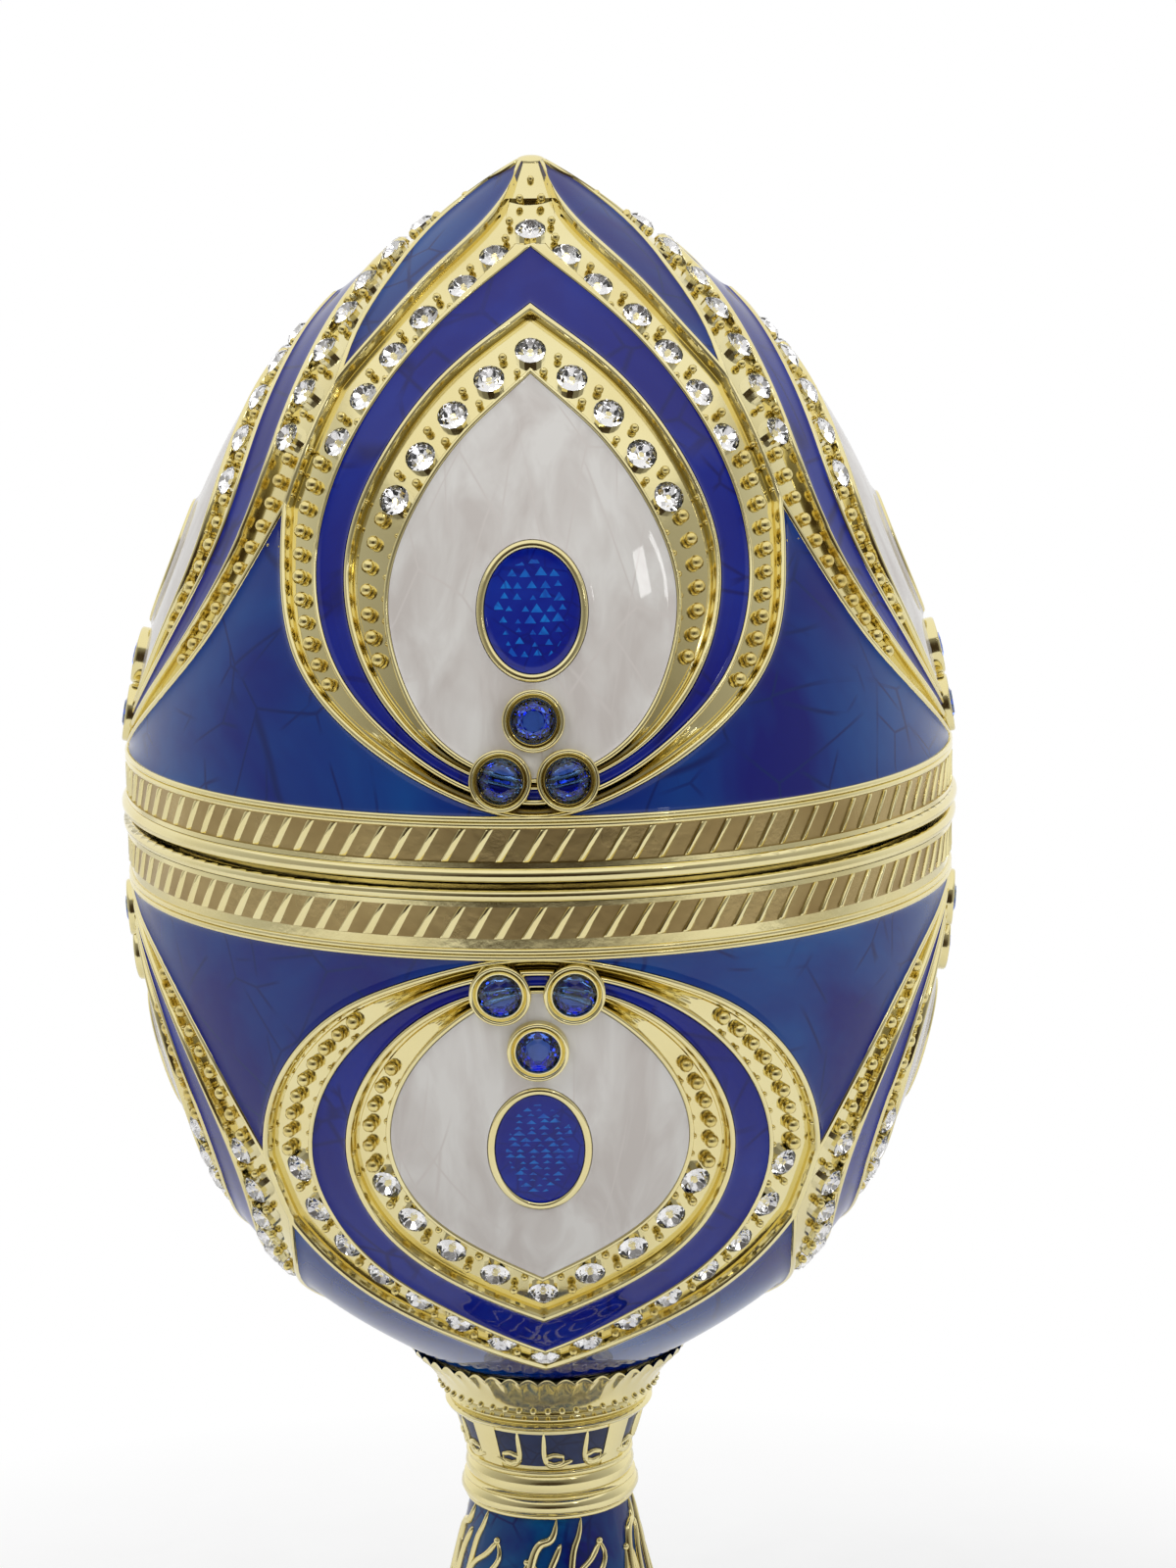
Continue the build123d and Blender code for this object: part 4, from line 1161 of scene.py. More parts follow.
# %% A low round bead
def bead_shape(radius, height):
    """A round bead, a little taller than wide if height is over one."""
    points = [(0, 0, radius * height)]
    sides, rings = 10, 5
    for ring in range(1, rings):
        polar = math.pi * ring / rings
        points += circle_points(radius * math.sin(polar), radius * height * math.cos(polar), sides)
    points.append((0, 0, -radius * height))
    last = len(points) - 1
    faces = [[0, 1 + k, 1 + (k + 1) % sides] for k in range(sides)]
    for ring in range(rings - 2):
        row, below = 1 + ring * sides, 1 + (ring + 1) * sides
        faces += [[row + k, below + k, below + (k + 1) % sides, row + (k + 1) % sides] for k in range(sides)]
    row = 1 + (rings - 2) * sides
    faces += [[row + k, last, row + (k + 1) % sides] for k in range(sides)]
    return points, faces


# %% Where the grains and beads lie
GRAIN_RADIUS, BEAD_RADIUS = 0.38 * MM, 0.60 * MM
GRAIN_DEPTH, BEAD_DEPTH = 0.47 * MM, 0.50 * MM
GRAIN_OUT, GRAIN_IN = 1.02 * MM, 0.86 * MM
BEAD_PITCH, FIRST_BEAD = 1.95 * MM, 1.75 * MM
BEADS = {(LID, "inner"): 7, (LID, "outer"): 11, ("body", "inner"): 6, ("body", "outer"): 9}


def square_rows(points, normals, sizes=1.0):
    """Places given by points and normals, with their up along the egg's axis."""
    return place_rows(points, normals, np.broadcast_to((0.0, 0.0, 1.0), points.shape), sizes)


def band_line(shell, name):
    """The middle of a band from its tip to its foot: angle, level and the band's half width."""
    outer, inner = shell.half_outline(name, STATIONS), shell.half_outline(BANDS[name], STATIONS)
    width = np.linalg.norm(shell.place(*outer) - shell.place(*inner), axis=1)
    return (outer[0] + inner[0]) / 2, (outer[1] + inner[1]) / 2, width / 2


def grain_rows(shell, name):
    side, height = np.array(CLEAR_PLACES[shell.name, name], float).T
    angle, level = shell.spot(side, height)
    stones = shell.place(angle, level)
    middle_angle, middle_level = (angle[1:] + angle[:-1]) / 2, (level[1:] + level[:-1]) / 2
    normal = shell.normal(middle_angle, middle_level)
    middle = shell.place(middle_angle, middle_level, GRAIN_DEPTH)
    across = np.cross(np.diff(stones, axis=0), normal) * shell.up
    across /= np.linalg.norm(across, axis=1, keepdims=True)
    outer = square_rows(middle - across * GRAIN_OUT, normal)
    inner = square_rows(middle + across * GRAIN_IN, normal, 0.9)
    return np.concatenate([outer, inner])


def bead_rows(shell, name):
    angle, level, half_width = band_line(shell, name)
    points = shell.place(angle, level)
    last = shell.place(*shell.spot(*CLEAR_PLACES[shell.name, name][-1]))
    start = int(np.argmin(np.linalg.norm(points - last, axis=1)))
    length = np.concatenate([[0], np.cumsum(np.linalg.norm(np.diff(points[start:], axis=0), axis=1))])
    wanted = FIRST_BEAD + BEAD_PITCH * np.arange(BEADS[shell.name, name])
    at = [np.interp(wanted, length, values[start:]) for values in (angle, level, half_width)]
    room = np.clip((at[2] - 0.55 * MM) / BEAD_RADIUS, 0.45, 1)
    beads = surface_rows(shell, at[0], at[1], BEAD_DEPTH, room)
    between = wanted - BEAD_PITCH / 2
    at = [np.interp(between, length, values[start:]) for values in (angle, level, half_width)]
    lumps = surface_rows(shell, at[0], at[1], GRAIN_DEPTH + 0.1 * MM, 0.62)
    beyond = [np.interp(between + SHORT_STEP, length, values[start:]) for values in (angle, level)]
    ahead = shell.place(*beyond) - shell.place(at[0], at[1])
    across = np.cross(ahead, lumps[:, 3:6])
    across *= (np.maximum(at[2] - 0.85 * MM, 0.25 * MM) / np.linalg.norm(across, axis=1))[:, None]
    sides = [lumps.copy(), lumps.copy()]
    sides[0][:, :3] += across
    sides[1][:, :3] -= across
    return beads, np.concatenate(sides)


# %% Grains and beads, in place
TIP_GRAINS = ((0.0, 0.957, 0.62), (0.026, 0.928, 0.8), (0.05, 0.893, 0.8))
for shell in shells:
    body = ride_on[shell.name]
    beads, grains = [], []
    for name in BANDS:
        row, lumps = bead_rows(shell, name)
        beads.append(row)
        grains += [lumps, grain_rows(shell, name)]
    if shell is lid_shell:
        side, height, sizes = np.array(TIP_GRAINS).T
        grains.append(surface_rows(shell, *shell.spot(side, height), GRAIN_DEPTH, sizes * 1.2))
    rows = at_every_side(mirrored(np.concatenate(beads)))
    set_at(
        f"{shell.name}_beads", bead_shape(BEAD_RADIUS, 1.0), rows, body, gold_cast,
        uneven=0.06, seed=3,
    )
    rows = at_every_side(mirrored(np.concatenate(grains)))
    set_at(
        f"{shell.name}_grains", bead_shape(GRAIN_RADIUS, 1.2), rows, body, gold_cast,
        uneven=0.12, seed=5,
    )

# %% [markdown]
# ## Flecks in the ovals
#
# The oval enamels lie over a scaled ground: small bright triangles on the lid, flat dashes on the lower
# half. A texture could draw them, but they are few and have sharp edges, so they are thin flakes set by
# the same tree, in rows that are shifted and sized at random.

# %% Flecks
FLECK_SIDE, FLECK_THICKNESS = 0.50 * MM, 0.012 * MM
FLECK_ROWS = {LID: (0.86 * MM, 1.05 * MM, 0.62), "body": (0.52 * MM, 1.0 * MM, 0.26)}
fleck_blue = enamel("fleck_teal", (0.004, 0.07, 0.42), (0.005, 0.16, 0.55), (0.004, 0.05, 0.32), 700, 500)


def fleck_shape(height_share):
    """A thin three-cornered flake."""
    low, high = -0.3 * FLECK_THICKNESS, FLECK_THICKNESS
    base = -0.3 * FLECK_SIDE
    corners = [(-FLECK_SIDE, base), (FLECK_SIDE, base), (0, FLECK_SIDE * height_share * 2)]
    points = [(x, y, low) for x, y in corners] + [(x, y, high) for x, y in corners]
    return points, [[0, 2, 1], [3, 4, 5], [0, 1, 4, 3], [1, 2, 5, 4], [2, 0, 3, 5]]


def fleck_rows(shell, random):
    """Places of the flecks inside one oval."""
    centre_share, half_width, half_height = OVALS[shell.name]
    row_step, column_step, _ = FLECK_ROWS[shell.name]
    centre = shell.level(centre_share)
    inner_width, inner_height = half_width - OVAL_LINE - 0.5 * MM, half_height - OVAL_LINE - 0.5 * MM
    rows = []
    for up in np.arange(-inner_height, inner_height, row_step):
        start = -inner_width + column_step * random.random()
        for side in np.arange(start, inner_width, column_step):
            side += 0.25 * column_step * (random.random() - 0.5)
            rise = up + 0.3 * row_step * (random.random() - 0.5)
            size = 0.45 + 0.55 * random.random()
            if (side / inner_width) ** 2 + (rise / inner_height) ** 2 < 0.92:
                level = centre + rise
                angle = np.arcsin(side / shell.radius(level))
                rows.append(surface_rows(shell, angle, level, ENAMEL_DEPTH, size))
    return np.concatenate(rows)


for shell in shells:
    rows = at_every_side(fleck_rows(shell, np.random.default_rng(11)))
    set_at(
        f"{shell.name}_flecks", fleck_shape(FLECK_ROWS[shell.name][2]), rows, ride_on[shell.name], fleck_blue,
        smooth=20,
    )

# %% [markdown]
# ## The tip of the egg
#
# The lines of the four motifs run together at the top, under a low smooth dome. Modelled one by one
# they would end in a tangle of thin edges, so the bands and fields stop level just below, and the dome,
# a turned shape, covers them. A plain plate closes the channel of each motif beside it.

# %% The dome and its plates
TIP_SECTION = in_metres((
    (1.35, -2.2), (1.35, -1.08), (1.2, -0.93), (1.0, -0.79), (0.75, -0.69), (0.45, -0.62), (0.2, -0.60),
))
DOME_TOP, DOME_BOTTOM = TIP_SECTION[-1][1], TIP_SECTION[0][1]
PLATE_DROP = np.linspace(3.3, 0.7, 14) * MM
PLATE_DEPTHS, PLATE_EDGE = np.linspace(0.82, 0.3, 14) * MM, -0.18 * MM
PLATE_COLUMNS, LEAST_PLATE_ANGLE = 9, 0.02
DOME_SIDES = 40


def patch(shell, half_angle, levels, depths, under):
    """A closed plate on a shell, between an angle to the left and the same to the right."""
    angle = half_angle[:, None] * np.linspace(-1, 1, PLATE_COLUMNS)
    level = np.repeat(levels[:, None], PLATE_COLUMNS, axis=1)
    depth = np.repeat(depths[:, None], PLATE_COLUMNS, axis=1)
    every_row = np.ones(len(levels), bool)
    points = [shell.place(angle, level, at).reshape(-1, 3) for at in (depth, under)]
    return np.concatenate(points), field_faces(angle.shape, every_row, every_row)


apex = lid_shell.levels[-1]
rings = np.array([circle_points(radius, height, DOME_SIDES) for radius, height in TIP_SECTION])
points, faces = capped_rings(rings, (0, 0, DOME_TOP), (0, 0, DOME_BOTTOM))
finished("tip_dome", points + (0, 0, apex), faces, LID, gold_line, 60, slot="gold_band")
plate_levels = apex - PLATE_DROP
half_angle = outline_angle(lid_shell, plate_levels) - PLATE_EDGE / lid_shell.radius(plate_levels)
plate = patch(lid_shell, np.maximum(half_angle, LEAST_PLATE_ANGLE), plate_levels, PLATE_DEPTHS, SEAT_DEPTH)
finished("tip_plates", *all_sides(*plate), LID, gold_line, 40, slot="gold_band")

# %% [markdown]
# ## Flutes
#
# The rim bands carry leaning flutes: narrow bars with parallel edges on the lid, wedges with a
# broader foot on the lower half. Each flute has its crest near the left edge. The ground between them is a
# thin turned ring in a darker gold, which is painted shade for the recess between the flutes. One flute is
# given by where its edges stand at the low and at the high end; the setting tree repeats it round the band,
# and leaves out the back, where the hinge leaves lie.

# %% One flute, and a ring of them
FLUTE_SECTION = ((0, -0.5), (0, 0.1), (0.1, 0.8), (0.25, 1.0), (0.5, 0.85), (0.8, 0.5), (1, 0.1), (1, -0.5))
FLUTE_ROWS = ((0.0, 0.6), (0.06, 1.0), (0.94, 1.0), (1.0, 0.6))


def flute_shape(low_edges, high_edges, height, rise):
    """A leaning bar between two edges, each given at the low and at the high end."""
    points = []
    for share, fullness in FLUTE_ROWS:
        left, right = [low + (high - low) * share for low, high in zip(low_edges, high_edges)]
        for across, out in FLUTE_SECTION:
            lift = rise * out * (fullness if out > 0 else 1)
            points.append((left + (right - left) * across, (share - 0.5) * height, lift))
    rows, columns = len(FLUTE_ROWS), len(FLUTE_SECTION)
    index = np.arange(rows * columns).reshape(rows, columns)
    right = np.roll(index, -1, axis=1)
    faces = np.stack([index[:-1], right[:-1], right[1:], index[1:]], axis=-1).reshape(-1, 4).tolist()
    return points, faces + [index[0].tolist(), index[-1].tolist()]


def ring_rows(radius, level, count, left_out=0.0):
    """Places round the axis, standing outwards; the back is left out up to an angle on each side."""
    angle = 2 * math.pi * np.arange(count) / count
    angle = angle[np.abs(angle - math.pi) >= left_out]
    outward = np.stack([np.sin(angle), -np.cos(angle), 0 * angle], axis=1)
    return square_rows(outward * radius + (0, 0, level), outward)


BAR, WEDGE = ((-1.03, -0.44), (0.44, 1.03)), ((-1.25, -0.45), (0.37, 0.90))
LAND_RADIUS, FLUTE_PITCH, FLUTE_RISE = EGG_RADIUS - 0.15 * MM, 2.13 * MM, 0.24 * MM
GROUND_RISE, GROUND_UNDER, GROUND_SIDES = 0.03 * MM, 0.3 * MM, 180
FLUTE_CLEARANCE = 0.1 * MM
FOOT_BAND_RADIUS = 28.3 * MM
HINGE_GAP = math.radians(13.8)
FLUTE_BANDS = {
    "lid_rim_flutes": (LID, LAND_RADIUS, OPENING + 1.85 * MM, OPENING + 4.5 * MM, BAR, HINGE_GAP),
    "body_rim_flutes": (STAND, LAND_RADIUS, OPENING - 4.25 * MM, OPENING - 1.65 * MM, WEDGE, HINGE_GAP),
    "foot_rim_flutes": (STAND, FOOT_BAND_RADIUS, 2.1 * MM, 6.8 * MM, WEDGE, 0.0),
}
for name, (body, radius, low, high, (low_edges, high_edges), left_out) in FLUTE_BANDS.items():
    count = round(2 * math.pi * radius / FLUTE_PITCH)
    rows = ring_rows(radius, (low + high) / 2, count, left_out)
    edges = [(left * MM, right * MM) for left, right in (low_edges, high_edges)]
    shape = flute_shape(*edges, high - low - FLUTE_CLEARANCE, FLUTE_RISE)
    set_at(name, shape, rows, body, gold_line, smooth=35)
    inside, outside = radius - GROUND_UNDER, radius + GROUND_RISE
    ground = [(inside, low), (outside, low), (outside, high), (inside, high)]
    finished(f"{name}_ground", *turned_ring(ground, GROUND_SIDES), body, gold_painted_recess_shade, 30, slot="gold_band")
    print(name, len(rows), "flutes")

# %% [markdown]
# ## The petal cup
#
# The egg sits snugly in a cup of many narrow upright petals, whose tips make a scalloped edge. Under
# them lie a row of small nubs, a groove and two fine rings. The cup is one turned grid: its wall swells
# with each petal and its edge falls between two. The nubs are set by the tree.

# %% Petal cup
PETALS, COLUMNS_PER_PETAL = 48, 8
PETAL_BULGE, PETAL_DROP = 0.12 * MM, 0.5 * MM
PETAL_FOOT, PETAL_TIP = 62.5 * MM, 66.4 * MM
CUP_SECTION = in_metres((
    (8.6, 60.4), (9.05, 60.5), (9.2, 60.75), (9.05, 61.0), (8.7, 61.1), (8.95, 61.3), (9.0, 61.5),
    (8.8, 61.7), (8.75, 61.85), (9.1, 62.1), (9.55, 62.45), (9.7, 62.8), (10.1, 63.5), (10.7, 64.4),
    (11.35, 65.3), (11.85, 65.85), (12.2, 66.25), (12.25, 66.4), (12.05, 66.35), (11.0, 65.6),
    (9.5, 64.4), (7.0, 62.6), (7.0, 60.4),
))
NUB_RADIUS, NUB_RING = 0.28 * MM, 9.62 * MM


def petal_cup():
    count = PETALS * COLUMNS_PER_PETAL
    angle = 2 * math.pi * np.arange(count) / count
    petal = np.abs(np.cos(PETALS * angle / 2))
    grid = []
    for radius, height in CUP_SECTION:
        open_share = np.clip((height - PETAL_FOOT) / (PETAL_TIP - PETAL_FOOT), 0, 1)
        out = radius + PETAL_BULGE * open_share * (petal - 0.6)
        drop = PETAL_DROP * open_share**2 * (1 - petal)
        grid.append(np.stack([out * np.sin(angle), -out * np.cos(angle), height - drop], axis=-1))
    return wrapped_grid(np.array(grid))


finished("petal_cup", *petal_cup(), STAND, gold_line, 50, replaces=["lotus_cup"], slot="gold_plate")
rows = ring_rows(NUB_RING, PETAL_FOOT, PETALS)
set_at("petal_nubs", bead_shape(NUB_RADIUS, 1.0), rows, STAND, gold_line)

# %% [markdown]
# ## Neck, collar and the scrolls of the foot
#
# Four dark panels go round the neck between gold uprights, and three loops stand in each panel: a flat
# oval ring with an upright beside it and a stroke that runs on under the ring. Wavy stems hang from the
# collar over the foot, and pointed blades rise to meet them. Loops and stems are round wires laid on the
# surface. The collar is turned: a bevel, a groove and two rolls, the lower one wider.

# %% A wire laid on a surface
WIRE_SIDES, ROUTE_RADIUS = 8, 30 * MM


def wire(points, normals, radii):
    """A tube with closed, tapering ends that follows points and leans with their normals."""
    ahead = np.gradient(points, axis=0)
    ahead /= np.linalg.norm(ahead, axis=1, keepdims=True)
    side = np.cross(ahead, normals)
    side /= np.linalg.norm(side, axis=1, keepdims=True)
    up = np.cross(side, ahead)
    turn = 2 * math.pi * np.arange(WIRE_SIDES) / WIRE_SIDES
    ring = np.cos(turn)[None, :, None] * side[:, None] + np.sin(turn)[None, :, None] * up[:, None]
    rings = points[:, None] + ring * radii[:, None, None]
    return capped_rings(rings, points[-1], points[0])


def laid_wire(shell, sides, levels, radius, count=40, turn=0.0):
    """A wire on a shell through sides (angles) and levels, smoothed as if on one round cylinder."""
    route = bent_strip(list(zip(np.array(sides) * ROUTE_RADIUS, levels)), count)
    angle, level = route[:, 0] / ROUTE_RADIUS + turn, route[:, 1]
    share = np.linspace(-1, 1, count)
    radii = radius * np.sqrt(np.clip(1 - share**6, 0.02, 1))
    return wire(shell.place(angle, level, 0.0), shell.normal(angle, level), radii)


def repeated_round(meshes, count):
    every = []
    for k in range(count):
        every += [(rotated(points, 2 * math.pi * k / count), faces) for points, faces in meshes]
    return joined(every)


# %% Loops and uprights of the neck
neck_low, neck_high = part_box("stem_neck")[0].z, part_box("stem_neck")[1].z
NECK_RADII = ((7.15 * MM, 0.0), (7.6 * MM, 1 / 3), (8.05 * MM, 2 / 3), (8.5 * MM, 1.0))
neck_outline = [(radius / EGG_RADIUS, height) for radius, height in NECK_RADII]
neck = Shell("neck", neck_outline, neck_low, neck_high - neck_low, 1, {})
PANELS, PANEL_MIDDLE = 4, math.radians(2.5)
LOOPS = ((-28.5, -1), (1.5, 1), (28.5, 1))
LOOP_RADIUS, NECK_RADIUS = 0.27 * MM, 7.9 * MM
EYE_SHARE, EYE_HALF_WIDTH, EYE_HALF_SHARE = 0.27, 0.85 * MM, 0.115
STROKE = (
    (-0.94, 0.93), (-0.95, 0.6), (-0.93, 0.35), (-0.6, 0.16), (0, 0.12), (0.6, 0.14), (1.2, 0.2),
    (1.7, 0.22),
)
UPRIGHT_WIDTH, UPRIGHT_RISE, UPRIGHT_UNDER = math.radians(17), 0.12 * MM, 0.3 * MM
UPRIGHT_ROWS = 6


def neck_loop(middle, side):
    """One loop; side is minus one for the mirrored one."""
    turn = np.linspace(-0.15, 2 * math.pi + 0.15, 14)
    eye_sides = middle + side * EYE_HALF_WIDTH * np.cos(turn) / NECK_RADIUS
    eye_levels = neck.level(EYE_SHARE + EYE_HALF_SHARE * np.sin(turn))
    across, share = np.array(STROKE).T
    stroke_sides = middle + side * across * MM / NECK_RADIUS
    return [
        laid_wire(neck, eye_sides, eye_levels, LOOP_RADIUS),
        laid_wire(neck, stroke_sides, neck.level(share), LOOP_RADIUS),
    ]


loops = []
for degrees, side in LOOPS:
    loops += neck_loop(PANEL_MIDDLE + math.radians(degrees), side)
finished("neck_loops", *repeated_round(loops, PANELS), STAND, gold_line, 60, slot="gold_band")
levels = np.linspace(neck_low, neck_high, UPRIGHT_ROWS)
half_widths, depths = np.full(UPRIGHT_ROWS, UPRIGHT_WIDTH / 2), np.full(UPRIGHT_ROWS, -UPRIGHT_RISE)
upright = patch(neck, half_widths, levels, depths, UPRIGHT_UNDER)
upright = (rotated(upright[0], PANEL_MIDDLE + math.pi / PANELS), upright[1])
finished("neck_uprights", *repeated_round([upright], PANELS), STAND, gold_line, 40, slot="gold_band")

# %% The turned collar
COLLAR_SECTION = in_metres((
    (6.2, 51.6), (7.15, 51.6), (7.45, 51.75), (7.55, 51.95), (7.5, 52.1), (7.75, 52.35), (7.9, 52.7),
    (7.85, 53.1), (7.65, 53.4), (7.5, 53.55), (7.6, 53.65), (7.62, 53.78), (7.45, 53.85), (7.3, 54.0),
    (7.42, 54.4), (7.5, 54.8), (7.42, 55.2), (7.25, 55.45), (7.18, 55.55), (7.3, 55.65), (7.42, 55.85),
    (7.4, 56.05), (7.2, 56.2), (6.2, 56.2),
))
COLLAR_SIDES = 96
finished(
    "turned_collar", *turned_ring(COLLAR_SECTION, COLLAR_SIDES), STAND, gold_line, 50,
    replaces=["stem_collar"], slot="gold_band",
)

# %% Stems and blades of the foot
foot_low, foot_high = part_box("foot_enamel")[0].z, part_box("foot_enamel")[1].z
FOOT_SHARES = ((1.0, 0.0), (0.72, 0.14), (0.42, 0.36), (0.2, 0.63), (0.075, 0.84), (0.0, 1.0))
FOOT_TOP, FOOT_FLARE = 7.1 * MM, 20.5 * MM
foot_outline = [((FOOT_TOP + FOOT_FLARE * share) / EGG_RADIUS, height) for share, height in FOOT_SHARES]
foot = Shell("foot", foot_outline, foot_low, foot_high - foot_low, 1, {})
FOOT_GROUPS, FOOT_TURN = 5, math.radians(13.6)
# Each route is degrees and share of the foot's height; what lies below a share of 0.86 is a guess
STEMS = (
    ((
        (-8.9, 1.0), (-10.2, 0.978), (-20.2, 0.95), (-24.4, 0.924), (-26.3, 0.892), (-27, 0.83),
        (-23, 0.74), (-25, 0.64), (-24, 0.52),
    ), 0.435),
    ((
        (9, 1.0), (6, 0.965), (1.9, 0.935), (0.4, 0.91), (-1.2, 0.875), (-4, 0.81), (-4, 0.73),
        (1, 0.65), (5, 0.57),
    ), 0.325),
    ((
        (-6.4, 0.952), (-10.3, 0.923), (-13.6, 0.898), (-15.1, 0.876), (-16, 0.83), (-14, 0.78),
        (-10, 0.73),
    ), 0.35),
)
BLADES = (
    (((20.9, 0.947), (14.9, 0.92), (8.3, 0.902), (1.1, 0.877), (-4, 0.84)), 0.3),
    ((
        (20.9, 0.947), (24, 0.919), (20, 0.89), (14.1, 0.862), (9, 0.80), (8, 0.72), (11, 0.63), (14, 0.54),
    ), 0.3),
    (((43.5, 0.914), (40, 0.87), (33, 0.80), (28, 0.71), (28, 0.62), (35, 0.53)), 0.3),
    (((43.5, 0.914), (50, 0.89), (51, 0.84), (44, 0.76), (39, 0.69), (36, 0.62)), 0.3),
)
LEAF = ((0, 0.5), (-14, 0.36), (-16, 0.22), (-8, 0.08), (0, 0.035))
VEIN = ((0, 0.40), (1.5, 0.27), (0, 0.10))
LEAF_MIDDLES, LEAF_RADIUS, VEIN_RADIUS = (12, 48), 0.42, 0.3
routes = list(STEMS + BLADES)
for middle in LEAF_MIDDLES:
    for side in (-1, 1):
        routes.append((tuple((middle + side * degrees, share) for degrees, share in LEAF), LEAF_RADIUS))
    routes.append((tuple((middle + degrees, share) for degrees, share in VEIN), VEIN_RADIUS))
scrolls = []
for route, radius in routes:
    degrees, shares = np.array(route).T
    scrolls.append(laid_wire(foot, np.radians(degrees), foot.level(shares), radius * MM, turn=FOOT_TURN))
finished("foot_scrolls", *repeated_round(scrolls, FOOT_GROUPS), STAND, gold_line, 60, slot="gold_band")
BLADE_NUB_RADIUS = 0.35 * MM
group = 2 * math.pi * np.arange(FOOT_GROUPS) / FOOT_GROUPS + FOOT_TURN
tips = []
for route, radius in BLADES[::2]:
    degrees, share = route[0]
    tips.append(surface_rows(foot, group + math.radians(degrees), foot.level(share)))
nub = bead_shape(BLADE_NUB_RADIUS, 1.0)
set_at("blade_nubs", nub, np.concatenate(tips), STAND, gold_line)

# %% [markdown]
# ## Camera, floor and light
#
# The camera stands where the photograph was taken: about 32 cm in front, a little above the egg, tilted
# down by 11.3 degrees and rolled by less than one. The floor is pale, the light is soft and comes from
# large lamps, and the white background is what camera and glass rays see of the world. Polished metal
# shows its surroundings, so gloss rays see a room: dark in front, pale at the sides, bright above.

# %% Camera
CAMERA_PLACE = (4.15 * MM, -325 * MM, OPENING + 65.9 * MM)
CAMERA_PITCH, CAMERA_ROLL = math.radians(11.30), math.radians(0.7)
camera_data = bpy.data.cameras.new("camera")
camera_data.lens, camera_data.sensor_width = 88.25, 36
camera = bpy.data.objects.new("camera", camera_data)
camera.location = CAMERA_PLACE
aim = Matrix.Rotation(math.pi / 2 - CAMERA_PITCH, 4, "X") @ Matrix.Rotation(-CAMERA_ROLL, 4, "Z")
camera.matrix_world = Matrix.Translation(CAMERA_PLACE) @ aim
bpy.context.scene.collection.objects.link(camera)
bpy.context.scene.camera = camera

# %% Floor
FLOOR_REACH, SHADE_REACH = 0.45, 0.16
floor_material, tree, shader, effect = new_material("floor", polish, {"Grain": 60.0}, roughness=0.9)
white = ramp_of(tree, (0.3, 0.7, 0, 1), effect.outputs["Tone"])
tree.links.new(mixed_colour(tree, white, (0.86, 0.86, 0.86), (0.88, 0.88, 0.88)), shader.inputs["Base Color"])
place = add_node(tree, "ShaderNodeTexCoord")
away = add_node(tree, "ShaderNodeVectorMath", operation="LENGTH")
tree.links.new(place.outputs["Object"], away.inputs[0])
far = ramp_of(tree, (0.5 * SHADE_REACH, SHADE_REACH, 0, 1), away.outputs["Value"])
path = add_node(tree, "ShaderNodeLightPath")
seen = add_node(tree, "ShaderNodeMath", operation="MAXIMUM")
tree.links.new(path.outputs["Is Camera Ray"], seen.inputs[0])
tree.links.new(path.outputs["Is Transmission Ray"], seen.inputs[1])
both = add_node(tree, "ShaderNodeMath", operation="MULTIPLY")
tree.links.new(far, both.inputs[0])
tree.links.new(seen.outputs[0], both.inputs[1])
glow = add_node(tree, "ShaderNodeEmission", {"Color": (1, 1, 1, 1), "Strength": 1.0})
blend = add_node(tree, "ShaderNodeMixShader")
tree.links.new(both.outputs[0], blend.inputs[0])
tree.links.new(shader.outputs["BSDF"], blend.inputs[1])
tree.links.new(glow.outputs["Emission"], blend.inputs[2])
tree.links.new(blend.outputs["Shader"], tree.nodes["Material Output"].inputs["Surface"])
corners = [(-FLOOR_REACH, -FLOOR_REACH, 0), (FLOOR_REACH, -FLOOR_REACH, 0), (FLOOR_REACH, FLOOR_REACH, 0)]
floor_mesh = mesh_from("floor", corners + [(-FLOOR_REACH, FLOOR_REACH, 0)], [(0, 1, 2, 3)])
floor_mesh.materials.append(floor_material)
floor = bpy.data.objects.new("floor", floor_mesh)
bpy.context.scene.collection.objects.link(floor)
floor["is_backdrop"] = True


# %% Lamps
def soft_lamp(name, place, aim, size, power, in_gloss=False):
    data = bpy.data.lights.new(name, "AREA")
    data.shape, data.size, data.energy = "SQUARE", size, power
    lamp = bpy.data.objects.new(name, data)
    lamp.location = place
    lamp.rotation_euler = (Vector(aim) - Vector(place)).to_track_quat("-Z", "Y").to_euler()
    lamp.visible_glossy = in_gloss
    bpy.context.scene.collection.objects.link(lamp)
    return lamp


MIDDLE = (0, 0, 0.11)
soft_lamp("key_lamp", (-0.45, -0.45, 0.75), MIDDLE, 0.45, 2.6)
soft_lamp("fill_lamp", (0.7, -0.35, 0.45), MIDDLE, 0.5, 1.6)
soft_lamp("top_lamp", (0.1, 0.35, 0.9), MIDDLE, 0.6, 2.6)
soft_lamp("window_lamp", (0.42, -0.55, 0.62), MIDDLE, 0.05, 0.06, in_gloss=True)

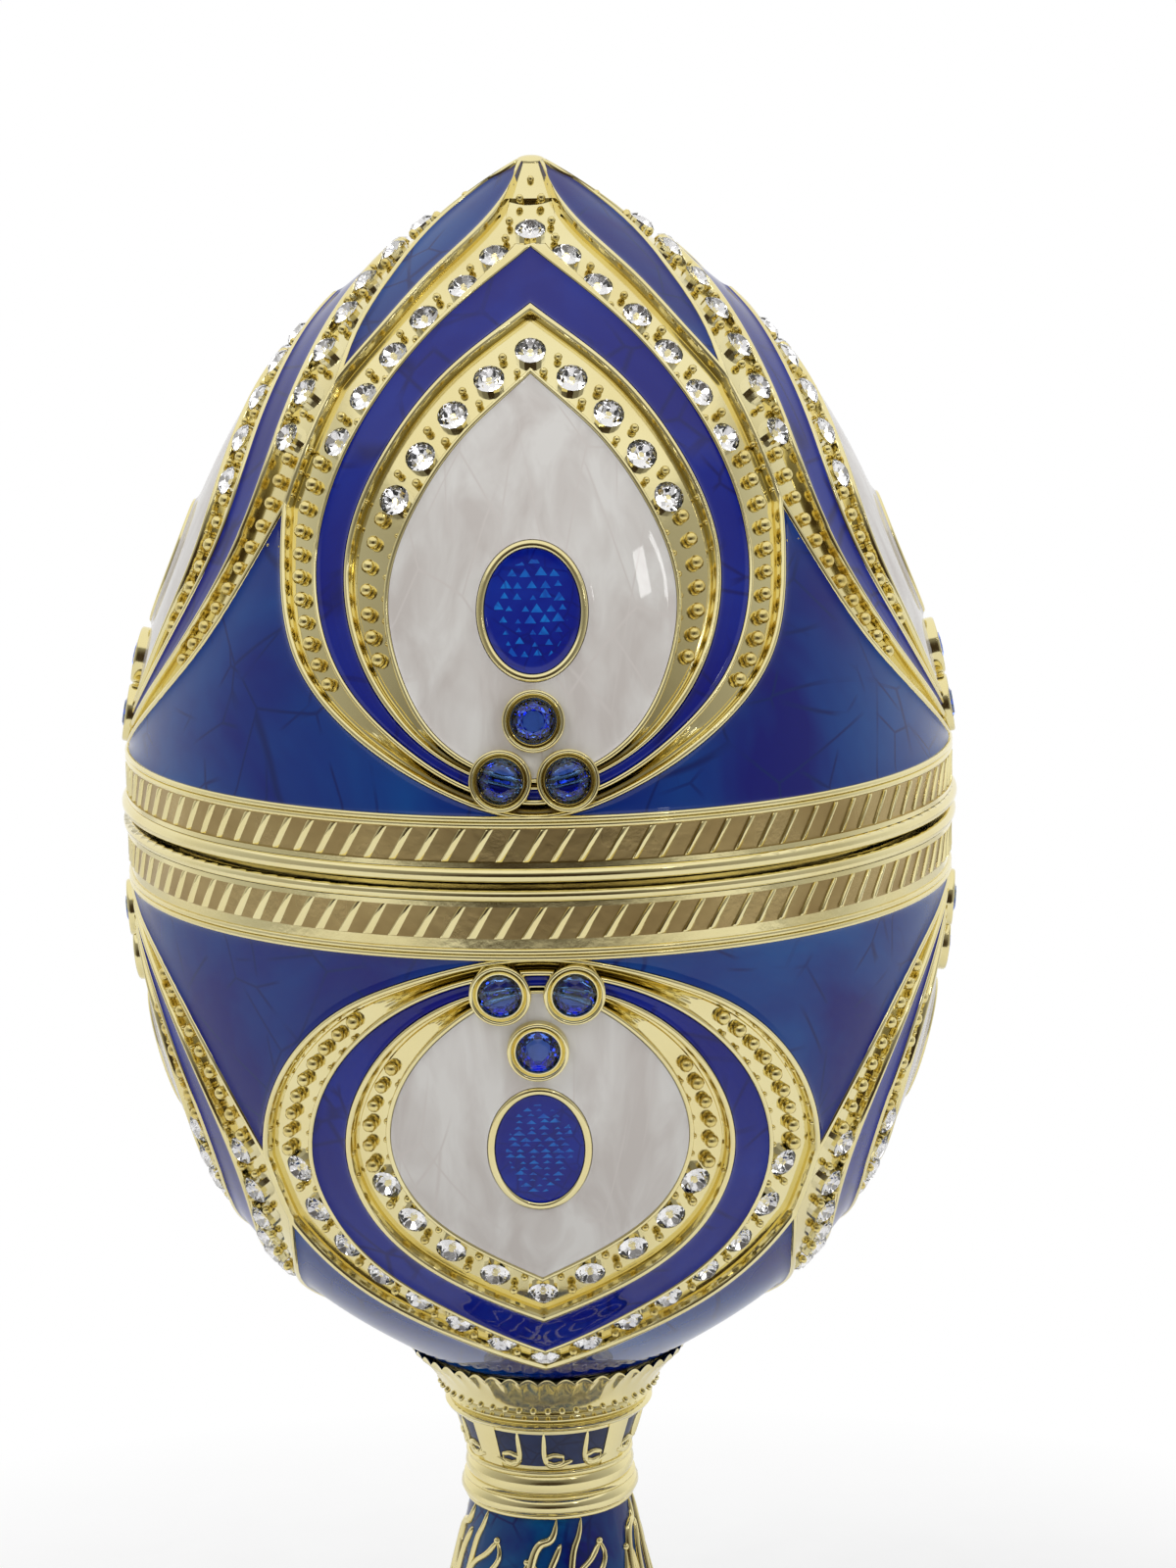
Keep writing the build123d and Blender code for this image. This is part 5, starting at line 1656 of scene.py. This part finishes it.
# %% World
world = bpy.data.worlds.new("studio")
bpy.context.scene.world = world
world.use_nodes = True
tree = world.node_tree
background = tree.nodes["Background"]
output = tree.nodes["World Output"]
background.inputs["Color"].default_value = (1, 1, 1, 1)
background.inputs["Strength"].default_value = 0.5
seen = add_node(tree, "ShaderNodeBackground", {"Strength": 1.0})
path = add_node(tree, "ShaderNodeLightPath")
direction = add_node(tree, "ShaderNodeTexCoord")
axes = add_node(tree, "ShaderNodeSeparateXYZ")
tree.links.new(direction.outputs["Generated"], axes.inputs["Vector"])
round_about = add_node(tree, "ShaderNodeValToRGB")
ROOM = (
    (0.0, (0.035, 0.022, 0.012)), (0.03, (0.06, 0.045, 0.03)), (0.07, (0.20, 0.19, 0.17)),
    (0.20, (0.36, 0.35, 0.33)), (0.5, (0.55, 0.55, 0.54)), (0.75, (0.9, 0.9, 0.9)), (1.0, (1.0, 1.0, 1.0)),
)
stops = round_about.color_ramp.elements
for position, colour in ROOM[1:-1]:
    stops.new(position)
for stop, (position, colour) in zip(stops, ROOM):
    stop.position, stop.color = position, (*colour, 1)
tree.links.new(ramp_of(tree, (-1, 1, 0, 1), axes.outputs["Y"]), round_about.inputs["Fac"])
ceiling = ramp_of(tree, (0.62, 0.68, 0, 1), axes.outputs["Z"])
room = mixed_colour(tree, ceiling, round_about.outputs["Color"], (1, 1, 1))
tree.links.new(mixed_colour(tree, path.outputs["Is Glossy Ray"], (1, 1, 1), room), seen.inputs["Color"])
any_ray = add_node(tree, "ShaderNodeMath", operation="MAXIMUM")
tree.links.new(path.outputs["Is Glossy Ray"], any_ray.inputs[0])
tree.links.new(path.outputs["Is Transmission Ray"], any_ray.inputs[1])
shown = add_node(tree, "ShaderNodeMath", operation="MAXIMUM")
tree.links.new(any_ray.outputs[0], shown.inputs[0])
tree.links.new(path.outputs["Is Camera Ray"], shown.inputs[1])
choose = add_node(tree, "ShaderNodeMixShader")
tree.links.new(shown.outputs[0], choose.inputs["Fac"])
tree.links.new(background.outputs["Background"], choose.inputs[1])
tree.links.new(seen.outputs["Background"], choose.inputs[2])
tree.links.new(choose.outputs["Shader"], output.inputs["Surface"])
bpy.context.scene.view_settings.view_transform = "Standard"

# %% Sizes of the visual model, and the end
low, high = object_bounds()
print("visual model", [round(1000 * side, 1) for side in high - low], "mm")
